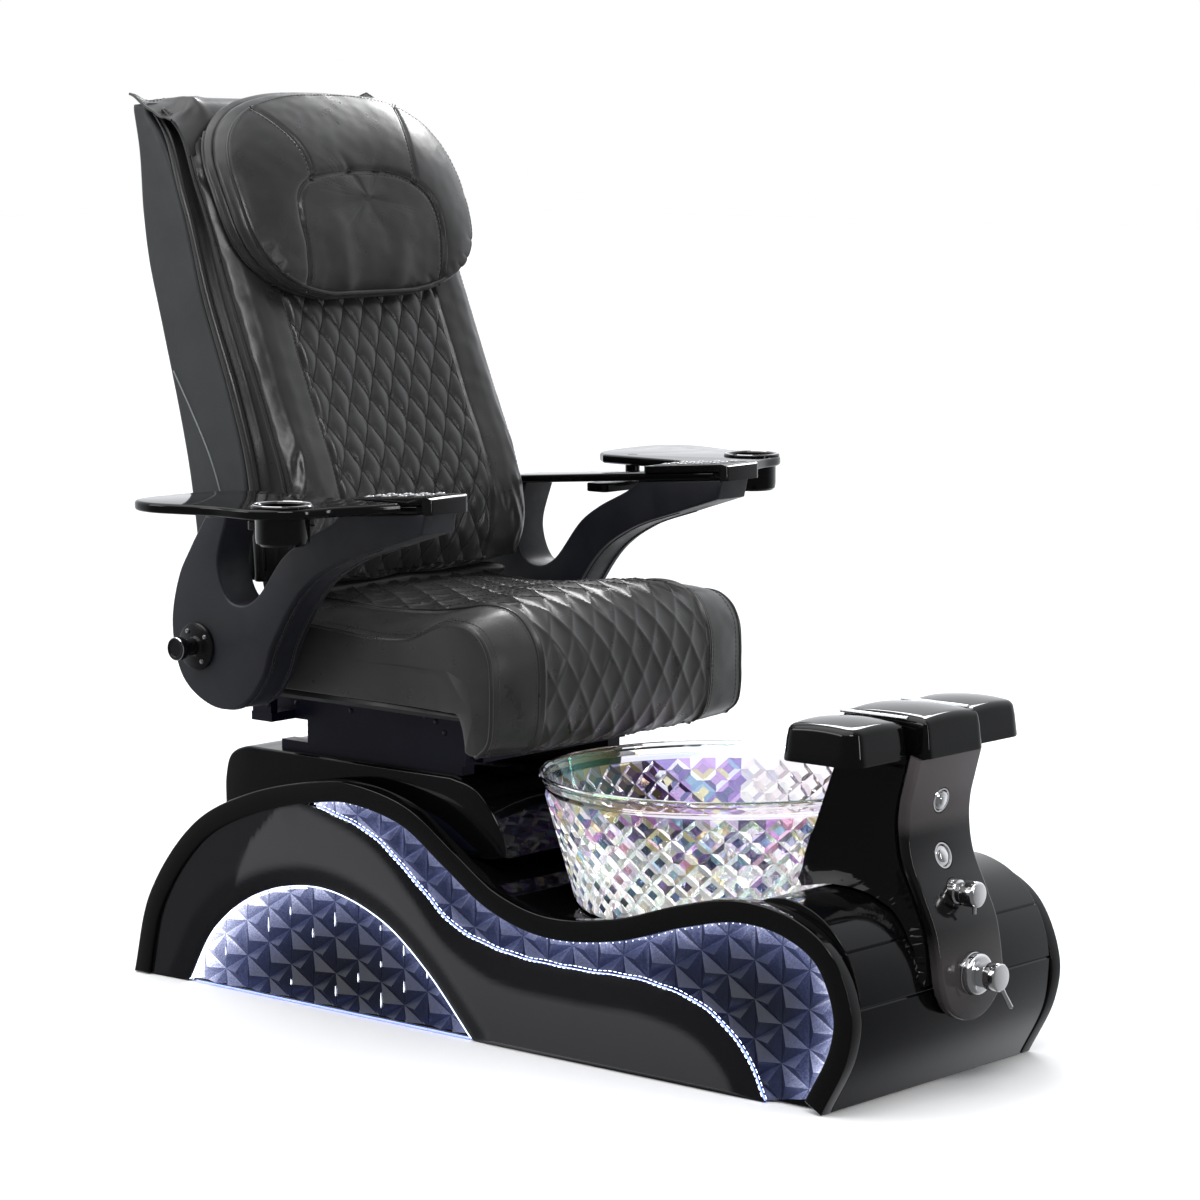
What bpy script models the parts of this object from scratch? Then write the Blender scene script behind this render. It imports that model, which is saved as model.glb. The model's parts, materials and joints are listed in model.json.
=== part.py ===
"""Pedicure spa chair: a massage recliner on a moulded base with a glass foot bowl.

Metres. +X points towards the footrest, +Y to the sitter's left, +Z up.
The origin is on the floor under the middle of the base.
"""

import math

import bmesh
import bpy
from mathutils import Matrix, Vector

# Driving dimensions
GAP = 0.0003  # between pieces that touch
WALL = 0.008  # moulded shells
BASE_HALF = 0.255  # half the width over the side rims
SHELL_HALF = 0.230  # half the width of the middle moulding
RIM_WIDTH = 0.033
PANEL_FACE = 0.2445  # how far out the textured panels come
SWOOSH_FACE = 0.2515
DECK_Z = 0.205
REAR_DECK_Z = 0.268
PLINTH_TOP = 0.388
BOWL_X = 0.300
BOWL_FOOT_R = 0.2226
BOWL_RIM_R = 0.2825
BOWL_RIM_Z = 0.416
GLASS = 0.009
DRAIN_R = 0.022
SEAT_HALF = 0.280
BACK_HALF = 0.270
PIVOT = Vector((-0.448, 0.0, 0.574))  # shared axis of the backrest and both arms
SHAFT_R = 0.010
ARM_IN, ARM_OUT = 0.305, 0.375
ARM_MID = (ARM_IN + ARM_OUT) / 2
BOARD_REAR, BOARD_FRONT = Vector((-0.430, 0.790)), Vector((0.040, 0.826))
BOARD_THICK = 0.013
BOARD_HALF = 0.040
TRAY_Z = 0.812
TRAY_THICK = 0.015
TRAY_PIVOT = Vector((-0.250, 0.425))
CUP = Vector((-0.090, 0.540))
CUP_R = 0.040
STRIP_HALF = 0.077
FOOTREST_Z = 0.4853
FOOTREST_TOP = 0.545
PAD_IN, PAD_OUT = 0.0764, 0.205
PIN_R = 0.003
ROD_R, TUBE_R = 0.008, 0.014
SLIDE_FIT = 0.0005  # radial clearance of turning and sliding fits
SLIDE_Y, SLIDE_Z = -0.060, 0.424  # axis of the seat slide actuator
RECLINE_Y, RECLINE_Z = 0.100, 0.470  # axis of the recline actuator
SIDES = (("right", -1), ("left", 1))

# Side outline of the base, from the rear of the floor line over the hump and the front roller
BASE_OUTLINE = [
    (-0.737, 0.0), (-0.698, 0.134), (-0.592, 0.262), (-0.465, 0.325), (-0.309, 0.362),
    (-0.241, 0.367), (-0.120, 0.344), (-0.025, 0.288), (0.060, 0.238), (0.161, 0.214),
    (0.292, 0.227), (0.419, 0.265), (0.526, 0.287), (0.623, 0.276), (0.694, 0.235),
    (0.732, 0.150), (0.724, 0.085), (0.679, 0.0),
]
# Upper edge of the wave-shaped lower panel, where the light strip runs, from its tip to the floor
WAVE_LINE = [
    (-0.349, 0.324), (-0.204, 0.288), (-0.103, 0.222), (-0.030, 0.170), (0.080, 0.143),
    (0.220, 0.138), (0.353, 0.140), (0.466, 0.116), (0.538, 0.062), (0.573, 0.0),
]
ARCH_LINE = [
    (-0.616, 0.0), (-0.556, 0.095), (-0.452, 0.166), (-0.316, 0.193), (-0.186, 0.161),
    (-0.091, 0.097), (0.008, 0.0),
]

# Backrest outlines, from the bottom up: rear of the shell, joint with the cushion, front
REAR_LINE = [
    (-0.562, 0.665), (-0.583, 0.813), (-0.604, 0.907), (-0.647, 1.063), (-0.673, 1.157),
    (-0.685, 1.235), (-0.692, 1.330), (-0.704, 1.392),
]
# Where the cushion meets the rear shell
MIDDLE_LINE = [
    (-0.442, 0.665), (-0.455, 0.830), (-0.487, 0.945), (-0.548, 1.098), (-0.590, 1.240),
    (-0.636, 1.345), (-0.668, 1.388),
]
FRONT_LINE = [
    (-0.352, 0.668), (-0.331, 0.710), (-0.330, 0.758), (-0.352, 0.839), (-0.395, 0.935),
    (-0.462, 1.097), (-0.540, 1.270), (-0.588, 1.360), (-0.640, 1.396),
]
# The two tubes that the massage carriage rides on
GUIDE_LOW = Vector((-0.478, 0.0, 0.700))
GUIDE_WAY = Vector((-0.279, 0.0, 0.960)).normalized()
GUIDE_LENGTH = 0.540

parts = bpy.data.collections.new("pedicure_spa_chair")
cutters = bpy.data.collections.new("cutters")


def clear_scene():
    for old in list(bpy.data.objects):
        bpy.data.objects.remove(old, do_unlink=True)
    for collection in (parts, cutters):
        bpy.context.scene.collection.children.link(collection)
    cutters.hide_render = True


# Materials: colour, roughness, metallic
PALETTE = {
    "gloss_black": ((0.012, 0.012, 0.013), 0.12, 0.0),
    "satin_black": ((0.030, 0.030, 0.032), 0.32, 0.0),
    "texture_grey": ((0.045, 0.047, 0.055), 0.40, 0.0),
    "led": ((0.55, 0.65, 1.0), 0.40, 0.0),
    "glass": ((0.80, 0.85, 0.88), 0.05, 0.0),
    "chrome": ((0.75, 0.75, 0.76), 0.12, 1.0),
    "steel": ((0.45, 0.46, 0.48), 0.35, 1.0),
    "frame_navy": ((0.015, 0.016, 0.040), 0.45, 0.3),
    "rubber": ((0.020, 0.020, 0.020), 0.80, 0.0),
    "leather": ((0.022, 0.022, 0.023), 0.42, 0.0),
    "arm_leather": ((0.026, 0.027, 0.032), 0.60, 0.0),
    "shell_grey": ((0.040, 0.042, 0.045), 0.60, 0.0),
    "board": ((0.060, 0.050, 0.040), 0.70, 0.0),
    "console": ((0.030, 0.030, 0.032), 0.25, 0.0),
}


def finish(obj, finish_name):
    material = bpy.data.materials.new(obj.name + "_" + finish_name)
    material.use_nodes = True
    shader = material.node_tree.nodes["Principled BSDF"]
    colour, roughness, metallic = PALETTE[finish_name]
    shader.inputs["Base Color"].default_value = (*colour, 1.0)
    shader.inputs["Roughness"].default_value = roughness
    shader.inputs["Metallic"].default_value = metallic
    material.diffuse_color = (*colour, 1.0)
    obj.data.materials.clear()
    obj.data.materials.append(material)


def add_object(name, data, finish_name=None):
    """Links an object as a part, or as a cutter where it has no finish."""
    obj = bpy.data.objects.new(name, data)
    (parts if finish_name else cutters).objects.link(obj)
    if finish_name:
        finish(obj, finish_name)
    else:
        obj.hide_render = True
        obj.display_type = "WIRE"
    return obj


def smooth(points, steps=3):
    """The points of a chord-length Catmull-Rom curve through the given ones."""
    knots = [Vector(p) for p in points]
    knots = [2 * knots[0] - knots[1], *knots, 2 * knots[-1] - knots[-2]]
    found = []
    for a, b, c, d in zip(knots, knots[1:], knots[2:], knots[3:]):
        t1 = math.sqrt((b - a).length)
        t2 = t1 + math.sqrt((c - b).length)
        t3 = t2 + math.sqrt((d - c).length)
        for step in range(steps):
            t = t1 + (t2 - t1) * step / steps
            ab = a * (t1 - t) / t1 + b * t / t1
            bc = b * (t2 - t) / (t2 - t1) + c * (t - t1) / (t2 - t1)
            cd = c * (t3 - t) / (t3 - t2) + d * (t - t2) / (t3 - t2)
            abc = ab * (t2 - t) / t2 + bc * t / t2
            bcd = bc * (t3 - t) / (t3 - t1) + cd * (t - t1) / (t3 - t1)
            found.append(abc * (t2 - t) / (t2 - t1) + bcd * (t - t1) / (t2 - t1))
    return found + [knots[-2]]


def inset(points, distance):
    """The line moved to its right by a distance, kept above the floor."""
    moved = []
    for index, point in enumerate(points):
        before = points[max(index - 1, 0)]
        after = points[min(index + 1, len(points) - 1)]
        along = (after - before).normalized()
        right = Vector((along.y, -along.x))
        new = point + right * distance
        moved.append(Vector((new.x, max(new.y, 0.0))))
    return moved


def nearest(points, target):
    return min(range(len(points)), key=lambda i: (points[i] - Vector(target)).length)


# A flat outline lies in XY; these turn it so that its extrusion runs along an axis
TURN = {
    "X": Matrix(((0, 0, 1), (1, 0, 0), (0, 1, 0))).to_4x4(),
    "Y": Matrix(((1, 0, 0), (0, 0, -1), (0, 1, 0))).to_4x4(),
    "Z": Matrix.Identity(4),
}


def plate(name, outline, axis, low, high, finish_name=None):
    """A mesh prism of a closed outline, from low to high along the axis."""
    curve = bpy.data.curves.new(name, "CURVE")
    curve.dimensions = "2D"
    curve.fill_mode = "BOTH"
    curve.extrude = (high - low) / 2
    spline = curve.splines.new("POLY")
    spline.points.add(len(outline) - 1)
    for point, place in zip(spline.points, outline):
        point.co = (place[0], place[1], 0.0, 1.0)
    spline.use_cyclic_u = True
    source = bpy.data.objects.new(name + "_outline", curve)
    cutters.objects.link(source)
    middle = Vector({"X": (1, 0, 0), "Y": (0, 1, 0), "Z": (0, 0, 1)}[axis]) * (low + high) / 2
    source.matrix_world = Matrix.Translation(middle) @ TURN[axis]
    return mesh_of(source, name, finish_name)


def mesh_of(source, name, finish_name):
    """The welded mesh of a curve object, in the curve's place; the curve is removed."""
    bpy.context.view_layer.update()
    graph = bpy.context.evaluated_depsgraph_get()
    mesh = bpy.data.meshes.new_from_object(source.evaluated_get(graph))
    mesh.transform(source.matrix_world)
    work = bmesh.new()
    work.from_mesh(mesh)
    bmesh.ops.remove_doubles(work, verts=work.verts, dist=1e-5)
    bmesh.ops.recalc_face_normals(work, faces=work.faces)
    work.to_mesh(mesh)
    work.free()
    bpy.data.objects.remove(source, do_unlink=True)
    return add_object(name, mesh, finish_name)


def box(name, low, high, finish_name=None, rounding=0.0):
    work = bmesh.new()
    bmesh.ops.create_cube(work, size=1.0)
    low, high = Vector(low), Vector(high)
    for vertex in work.verts:
        vertex.co = Vector(
            low[i] + (high[i] - low[i]) * (vertex.co[i] + 0.5) for i in range(3)
        )
    mesh = bpy.data.meshes.new(name)
    work.to_mesh(mesh)
    work.free()
    obj = add_object(name, mesh, finish_name)
    if rounding:
        bevel = obj.modifiers.new("rounding", "BEVEL")
        bevel.width = rounding
        bevel.segments = 2
    return obj


def turned(name, profile, place, axis, finish_name=None, steps=24):
    """A solid of revolution about an axis through a place.

    The profile holds (radius, height) points down its outer side; a hollow one is a closed ring.
    """
    ring = profile[0][0] > 0 and profile[-1][0] > 0
    work = bmesh.new()
    points = [work.verts.new((radius, 0.0, height)) for radius, height in profile]
    for a, b in zip(points, points[1:]):
        work.edges.new((a, b))
    if ring:
        work.edges.new((points[-1], points[0]))
    mesh = bpy.data.meshes.new(name)
    work.to_mesh(mesh)
    work.free()
    obj = add_object(name, mesh, finish_name)
    obj.rotation_euler = Vector((0, 0, 1)).rotation_difference(Vector(axis)).to_euler()
    obj.location = place
    screw = obj.modifiers.new("turn", "SCREW")
    screw.steps = screw.render_steps = steps
    screw.use_merge_vertices = True
    screw.merge_threshold = 1e-5
    return obj


def rod(name, start, end, radius, finish_name=None, steps=16):
    start, end = Vector(start), Vector(end)
    length = (end - start).length
    profile = [(0.0, length), (radius, length), (radius, 0.0), (0.0, 0.0)]
    return turned(name, profile, start, end - start, finish_name, steps)


def pipe(name, start, end, outer, inner, finish_name, steps=16):
    start, end = Vector(start), Vector(end)
    length = (end - start).length
    profile = [(outer, length), (outer, 0.0), (inner, 0.0), (inner, length)]
    return turned(name, profile, start, end - start, finish_name, steps)


def boolean(target, other, operation):
    step = target.modifiers.new(operation.lower() + "_" + other.name, "BOOLEAN")
    step.operation = operation
    step.object = other


def cut(target, *others):
    for other in others:
        boolean(target, other, "DIFFERENCE")


def join(target, *others):
    for other in others:
        boolean(target, other, "UNION")


def on_side(points, side):
    """The mirror image of an XY outline for the right-hand side."""
    return [(p[0], p[1] * side) for p in points]


# Base
def base_shell():
    section = [
        (-0.715, 0.0), (-0.680, 0.125), (-0.590, 0.235), (-0.545, REAR_DECK_Z), (-0.020, REAR_DECK_Z),
        (0.030, 0.222), (0.058, DECK_Z), (0.480, DECK_Z), (0.505, 0.258), (0.550, 0.288),
        (0.600, 0.295), (0.660, 0.275), (0.708, 0.225), (0.729, 0.155), (0.722, 0.085), (0.678, 0.0),
    ]
    shell = plate("base_shell", section, "Y", -SHELL_HALF, SHELL_HALF, "gloss_black")
    inside = inset([Vector(p) for p in section], WALL)
    inside[0].y = inside[-1].y = -0.01
    for point in inside:
        # The floor of the bowl's pocket runs on under the front roller
        if point.x > 0.45:
            point.y = min(point.y, DECK_Z - WALL - 0.002)
    half = SHELL_HALF - WALL
    cut(shell, plate("base_hollow", inside, "Y", -half, half))
    pocket_r = BOWL_FOOT_R + 0.012
    cut(shell, turned(
        "bowl_pocket",
        [(0.0, 0.12), (pocket_r + 0.035, 0.12), (pocket_r, 0.0), (0.0, 0.0)],
        (BOWL_X, 0, DECK_Z), (0, 0, 1), steps=40,
    ))
    cut(shell, rod("drain_hole", (BOWL_X, 0, 0.15), (BOWL_X, 0, 0.25), DRAIN_R + 2 * SLIDE_FIT))


def side_panels():
    edge = smooth(BASE_OUTLINE)
    rim_edge = inset(edge, RIM_WIDTH)
    wave = smooth(WAVE_LINE)
    arch = smooth(ARCH_LINE)
    panel_edge = inset(edge, RIM_WIDTH + GAP)
    tip = nearest(panel_edge, WAVE_LINE[0])
    tuck = 0.010  # how far the textured panels run on behind the wave panel
    low_wave = [p for p in inset(wave, tuck) if p.x > WAVE_LINE[0][0] + 0.02]
    light_line = [p for p in inset(wave, -0.0037) if p.x > WAVE_LINE[0][0] + 0.075]
    for side, sign in SIDES:
        faces = (-BASE_HALF, -SHELL_HALF - GAP) if sign < 0 else (SHELL_HALF + GAP, BASE_HALF)
        rim = edge + rim_edge[::-1]
        plate("side_rim_" + side, rim, "Y", *faces, "gloss_black")
        swoosh = panel_edge[: tip + 1] + wave[1:] + arch[::-1]
        span = sorted((sign * (PANEL_FACE + GAP), sign * SWOOSH_FACE))
        plate("wave_panel_" + side, swoosh, "Y", *span, "satin_black")
        span = sorted((sign * (SHELL_HALF + GAP), sign * PANEL_FACE))
        upper = panel_edge[tip + 1:] + low_wave[::-1]
        plate("upper_panel_" + side, upper, "Y", *span, "texture_grey")
        plate("arch_panel_" + side, inset(arch, -tuck), "Y", *span, "texture_grey")
        light_strip(side, sign, light_line)


def light_strip(side, sign, line):
    curve = bpy.data.curves.new("light_strip_" + side, "CURVE")
    curve.dimensions = "3D"
    curve.bevel_depth = 0.003
    curve.bevel_resolution = 1
    curve.use_fill_caps = True
    spline = curve.splines.new("POLY")
    spline.points.add(len(line) - 1)
    out = sign * (PANEL_FACE + 0.0035)
    for point, place in zip(spline.points, line):
        point.co = (place.x, out, max(place.y, 0.004), 1.0)
    add_object("light_strip_" + side, curve, "led")


def floor_and_plinth():
    half = SHELL_HALF - WALL - 0.0005
    box("floor_pan", (-0.700, -half, 0.0), (0.664, half, 0.010), "satin_black")
    side = smooth([(-0.575, 0.290), (-0.572, 0.345), (-0.535, 0.380), (-0.480, PLINTH_TOP)])
    nose = smooth([(-0.080, PLINTH_TOP), (-0.015, 0.368), (0.030, 0.300), (0.036, 0.276)])
    floor = REAR_DECK_Z + GAP
    outline = [Vector((-0.500, floor))] + side + nose + [Vector((-0.025, floor))]
    plate("seat_plinth", outline, "Y", -0.200, 0.200, "gloss_black")
    for side_name, sign in SIDES:
        span = sorted((sign * 0.156, sign * 0.184))
        low = (-0.460, span[0], PLINTH_TOP + GAP)
        high = (-0.070, span[1], 0.4045)
        box("slide_rail_" + side_name, low, high, "steel")


def drain():
    top = DECK_Z + 2 * GAP + GLASS
    flange = [
        (0.038, 0.003), (0.038, 0.0), (DRAIN_R, 0.0), (DRAIN_R, -0.022), (0.034, -0.022),
        (0.034, -0.034), (DRAIN_R, -0.034), (DRAIN_R, -0.095), (0.016, -0.095), (0.016, 0.003),
    ]
    turned("drain_fitting", flange, (BOWL_X, 0, top + GAP), (0, 0, 1), "chrome")
    outlet_z = top + GAP - 0.095 - GAP
    route = smooth(
        [(BOWL_X, outlet_z), (BOWL_X - 0.004, outlet_z - 0.030), (0.255, 0.062), (0.120, 0.050),
         (-0.060, 0.055), (-0.150, 0.060), (-0.1797, 0.060)],
        steps=4,
    )
    curve = bpy.data.curves.new("drain_hose", "CURVE")
    curve.dimensions = "3D"
    curve.bevel_depth = 0.015
    curve.bevel_resolution = 2
    curve.use_fill_caps = True
    spline = curve.splines.new("POLY")
    spline.points.add(len(route) - 1)
    for point, place in zip(spline.points, route):
        point.co = (place.x, 0.0, place.y, 1.0)
    add_object("drain_hose", curve, "rubber")
    volute = rod("drain_pump", (-0.300, 0, 0.060), (-0.180, 0, 0.060), 0.042, "satin_black")
    join(volute, box("pump_foot", (-0.290, -0.045, 0.0105), (-0.190, 0.045, 0.040)))


def bowl():
    """Thick glass bowl on the deck, open at the drain."""
    base = DECK_Z + GAP
    slope = (BOWL_RIM_R - BOWL_FOOT_R) / (BOWL_RIM_Z - base)
    rim_z = BOWL_RIM_Z - base
    foot_in = BOWL_FOOT_R - 0.020
    profile = [
        (BOWL_RIM_R - GLASS, rim_z), (BOWL_RIM_R - 0.002, rim_z), (BOWL_RIM_R, rim_z - 0.003),
        (BOWL_RIM_R - 0.025 * slope, rim_z - 0.025),
        (BOWL_FOOT_R, 0.004), (BOWL_FOOT_R - 0.004, 0.0), (DRAIN_R + GAP, 0.0),
        (DRAIN_R + GAP, GLASS), (foot_in, GLASS), (BOWL_FOOT_R - GLASS + 0.003, 0.022),
    ]
    turned("bowl", profile, (BOWL_X, 0, base), (0, 0, 1), "glass", steps=40)


# Footrest column with its controls
def strip_line():
    return smooth([
        (0.714, 0.4845), (0.704, 0.448), (0.696, 0.416), (0.694, 0.382), (0.701, 0.337),
        (0.724, 0.287), (0.744, 0.242), (0.753, 0.198), (0.758, 0.147), (0.757, 0.100),
    ], steps=2)


# Each control: name, height, direction it faces in XZ, hole radius
CONTROLS = {
    "flush_button": (0.421, (0.982, -0.188), 0.0195),
    "light_button": (0.337, (0.954, 0.301), 0.0205),
    "diverter_knob": (0.277, (1.0, 0.0), 0.0190),
    "mixer_collar": (0.184, (1.0, 0.0), 0.0310),
}


def control_place(name):
    """The point on the strip's face where a control sits, and the way it faces."""
    height, facing, _ = CONTROLS[name]
    line = strip_line()
    index = nearest([Vector((0, p.y)) for p in line], (0, height))
    return Vector((line[index].x, 0, line[index].y)), Vector((facing[0], 0, facing[1])).normalized()


def column():
    thick = 0.020
    front = strip_line()
    rear = [p - Vector((thick, 0)) for p in front]
    strip = plate("control_strip", front + rear[::-1], "Y", -STRIP_HALF, STRIP_HALF, "gloss_black")
    low, bottom = 0.178, 0.104
    tongue = [(STRIP_HALF, 0.500), (STRIP_HALF, low)]
    for step in range(1, 8):
        turn = math.pi * step / 8
        tongue.append((STRIP_HALF * math.cos(turn), low - (low - bottom) * math.sin(turn)))
    tongue += [(-STRIP_HALF, low), (-STRIP_HALF, 0.500)]
    boolean(strip, plate("strip_tongue", tongue, "X", 0.60, 0.85), "INTERSECT")
    for name, (_, _, hole) in CONTROLS.items():
        place, facing = control_place(name)
        start, end = place - facing * 0.013, place + facing * 0.040
        cut(strip, rod("hole_" + name, start, end, hole))
    roller_top = [(0.730, 0.158), (0.709, 0.228), (0.663, 0.279), (0.603, 0.299), (0.548, 0.292)]
    back = [(0.535, 0.300), (0.548, 0.484)]
    outline = [p - Vector((GAP, 0)) for p in rear if p.y > 0.16] + roller_top + back
    body = plate("pedestal_column", outline, "Y", -1.0, 1.0, "gloss_black")
    for vertex in body.data.vertices:
        # The column is widest next to the bowl and narrows to the strip
        share = min(max((vertex.co.x - 0.545) / 0.130, 0.0), 1.0)
        vertex.co.y *= 0.112 - 0.030 * share
    clear = 0.004
    slope = (BOWL_RIM_R - BOWL_FOOT_R) / (BOWL_RIM_Z - DECK_Z)
    height = 0.32
    top_r = BOWL_FOOT_R + clear + height * slope
    scoop = [(0.0, height), (top_r, height), (BOWL_FOOT_R + clear, 0.0), (0.0, 0.0)]
    cut(body, turned("bowl_scoop", scoop, (BOWL_X, 0, DECK_Z), (0, 0, 1), steps=40))


def controls():
    for name, proud, radius in (("flush_button", 0.004, 0.019), ("light_button", 0.006, 0.020)):
        place, facing = control_place(name)
        button = [(0.0, 0.0), (radius - 0.002, 0.0), (radius, -0.002), (radius, -0.012), (0.0, -0.012)]
        turned(name, button, place + facing * proud, facing, "chrome")
    place, facing = control_place("diverter_knob")
    knob = [
        (0.0, 0.042), (0.0175, 0.042), (0.0190, 0.040), (0.0190, 0.018), (0.0150, 0.014),
        (0.0150, 0.008), (0.0180, 0.006), (0.0180, -0.010), (0.0, -0.010),
    ]
    dial = turned("diverter_knob", knob, place, facing, "chrome")
    pin = place + facing * 0.033
    join(dial, rod("knob_pin", pin - Vector((0, 0, 0.010)), pin - Vector((0, 0, 0.029)), 0.0028))
    place, facing = control_place("mixer_collar")
    collar = [(0.0, 0.016), (0.0270, 0.016), (0.0300, 0.013), (0.0300, -0.010), (0.0, -0.010)]
    turned("mixer_collar", collar, place, facing, "chrome")
    head = [
        (0.0, 0.050), (0.0190, 0.050), (0.0205, 0.048), (0.0205, 0.030), (0.0180, 0.026),
        (0.0180, 0.016 + GAP), (0.0, 0.016 + GAP),
    ]
    handle = turned("mixer_handle", head, place, facing, "chrome")
    root = place + facing * 0.040
    lever = Vector((0.18, 0.45, -0.87)).normalized()
    join(handle, rod("mixer_lever", root + lever * 0.010, root + lever * 0.055, 0.0034, steps=12))


def footrest():
    centre = [(0.560, FOOTREST_Z), (0.560, 0.530), (0.572, 0.546), (0.640, 0.550), (0.700, 0.544),
              (0.716, 0.525), (0.722, FOOTREST_Z)]
    plate("footrest_center", centre[::-1], "Y", -0.0695, 0.0695, "gloss_black")
    for side, sign in SIDES:
        pin_y = sign * (0.0695 + GAP + PIN_R)
        rod("footrest_pin_" + side, (0.570, pin_y, 0.5425), (0.690, pin_y, 0.5425), PIN_R, "steel", 12)
        edges = sorted((sign * PAD_IN, sign * PAD_OUT))
        low = (0.560, edges[0], FOOTREST_Z)
        high = (0.696, edges[1], FOOTREST_TOP)
        pad = box("footrest_pad_" + side, low, high, "gloss_black", 0.012)
        origin_on(pad, (0.0, pin_y, 0.5425))


def origin_on(obj, place):
    """Moves an object's origin to a point on its joint's axis, leaving its shape where it is."""
    place = Vector(place)
    obj.data.transform(Matrix.Translation(-place))
    obj.location = place


# Seat
def seat():
    shaft_end = Vector((0, ARM_OUT - 0.001, 0))
    rod("pivot_shaft", PIVOT - shaft_end, PIVOT + shaft_end, SHAFT_R, "steel")
    frame = box("seat_frame", (-0.470, -0.240, 0.441), (-0.425, 0.240, 0.455), "frame_navy")
    for side, sign in SIDES:
        pieces = {
            "channel": ((-0.468, 0.150, 0.4415), (-0.045, 0.190, 0.4900)),
            "block": ((-0.400, 0.154, 0.4050), (-0.060, 0.186, 0.4450)),
            "post": ((-0.468, 0.225, 0.4430), (-0.427, 0.2395, 0.6000)),
        }
        for name, (low, high) in pieces.items():
            ys = sorted((sign * low[1], sign * high[1]))
            join(frame, box(f"{name}_{side}", (low[0], ys[0], low[2]), (high[0], ys[1], high[2])))
    join(frame, box("front_cross", (-0.062, -0.160, 0.408), (-0.048, 0.160, 0.4885)))
    join(frame, box("rear_cross", (-0.392, -0.160, 0.442), (-0.380, 0.160, 0.4550)))
    hole = Vector((0, 0.30, 0))
    cut(frame, rod("shaft_hole", PIVOT - hole, PIVOT + hole, SHAFT_R + GAP))
    # The board and the cushion stop short of the swing of the recline lever
    box("seat_board", (-0.383, -0.262, 0.4905), (0.020, 0.262, 0.5040), "board")
    top = smooth([(-0.402, 0.600), (-0.380, 0.638), (-0.250, 0.648), (-0.100, 0.655), (0.000, 0.672),
                  (0.065, 0.657), (0.104, 0.605), (0.108, 0.530), (0.094, 0.452), (0.060, 0.438)])
    under = [(0.036, 0.446), (0.030, 0.490), (0.022, 0.5045), (-0.390, 0.5045)]
    outline = top + [Vector(p) for p in under]
    cushion = plate("seat_cushion", outline, "Y", -SEAT_HALF, SEAT_HALF, "leather")
    soften(cushion, 0.018)


def soften(obj, width):
    bevel = obj.modifiers.new("soften", "BEVEL")
    bevel.width = width
    bevel.segments = 2
    bevel.limit_method = "ANGLE"
    bevel.angle_limit = math.radians(50)


def actuators():
    bore = ROD_R + SLIDE_FIT
    ends = (-0.440, SLIDE_Y, SLIDE_Z), (-0.200, SLIDE_Y, SLIDE_Z)
    tube = pipe("slide_tube", *ends, TUBE_R, bore, "steel")
    low = (-0.430, SLIDE_Y - 0.010, PLINTH_TOP + GAP)
    join(tube, box("slide_tube_foot", low, (-0.390, SLIDE_Y + 0.010, SLIDE_Z - ROD_R - 0.003)))
    rod("slide_rod", (-0.360, SLIDE_Y, SLIDE_Z), (-0.062 - GAP, SLIDE_Y, SLIDE_Z), ROD_R, "chrome")
    ends = (-0.340, RECLINE_Y, RECLINE_Z), (-0.100, RECLINE_Y, RECLINE_Z)
    pipe("recline_tube", *ends, TUBE_R, bore, "steel")
    ends = (-0.437, RECLINE_Y, RECLINE_Z), (-0.200, RECLINE_Y, RECLINE_Z)
    rod("recline_rod", *ends, ROD_R, "chrome")


# Backrest
def backrest():
    rear, middle, front = smooth(REAR_LINE), smooth(MIDDLE_LINE), smooth(FRONT_LINE)
    outline = rear + [p - Vector((GAP, 0)) for p in middle[::-1]]
    shell = plate("back_shell", outline, "Y", -0.262, 0.262, "shell_grey")
    inner = [p + Vector((WALL + 0.002, 0)) for p in rear[:-4]]
    mouth = [p + Vector((0.030, 0)) for p in middle[:-4]][::-1]
    inner[0].y = mouth[-1].y = 0.640
    cut(shell, plate("back_hollow", inner + mouth, "Y", -0.252, 0.252))
    cushion = plate("back_cushion", middle + front[::-1], "Y", -BACK_HALF, BACK_HALF, "leather")
    soften(cushion, 0.015)
    back_frame()
    flap = smooth([(-0.700, 1.410), (-0.664, 1.404), (-0.634, 1.412), (-0.604, 1.386)])
    upper = [p + Vector((0.002, 0.010)) for p in flap][::-1]
    upper[-1] = Vector((-0.703, 1.424))
    plate("back_flap", flap + upper, "Y", -0.266, 0.266, "leather")


def back_frame():
    sleeve = pipe("back_frame", PIVOT - Vector((0, 0.206, 0)), PIVOT + Vector((0, 0.206, 0)),
                  0.016, SHAFT_R + SLIDE_FIT, "frame_navy")
    low = GUIDE_LOW
    high = GUIDE_LOW + GUIDE_WAY * GUIDE_LENGTH
    for side, sign in SIDES:
        out = Vector((0, sign * 0.120, 0))
        join(sleeve, rod("guide_" + side, low + out, high + out, 0.006, steps=10))
        ears = sorted((sign * 0.194, sign * 0.206))
        top = low + Vector((0, 0, 0.010))
        outline = [(PIVOT.x - 0.012, PIVOT.z + 0.011), (PIVOT.x + 0.012, PIVOT.z + 0.011),
                   (top.x + 0.010, top.z), (top.x - 0.012, top.z)]
        join(sleeve, plate("ear_" + side, outline[::-1], "Y", *ears))
    for end, half in ((low, 0.206), (high, 0.140)):
        corner = Vector((0.010, half, 0.012))
        join(sleeve, box("cross_bar", end - corner, end + corner))
    lever = [(PIVOT.x - 0.007, 0.463), (PIVOT.x + 0.007, 0.463), (PIVOT.x + 0.007, PIVOT.z - 0.0125),
             (PIVOT.x - 0.007, PIVOT.z - 0.0125)]
    join(sleeve, plate("recline_lever", lever, "Y", RECLINE_Y - 0.004, RECLINE_Y + 0.004))


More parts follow.
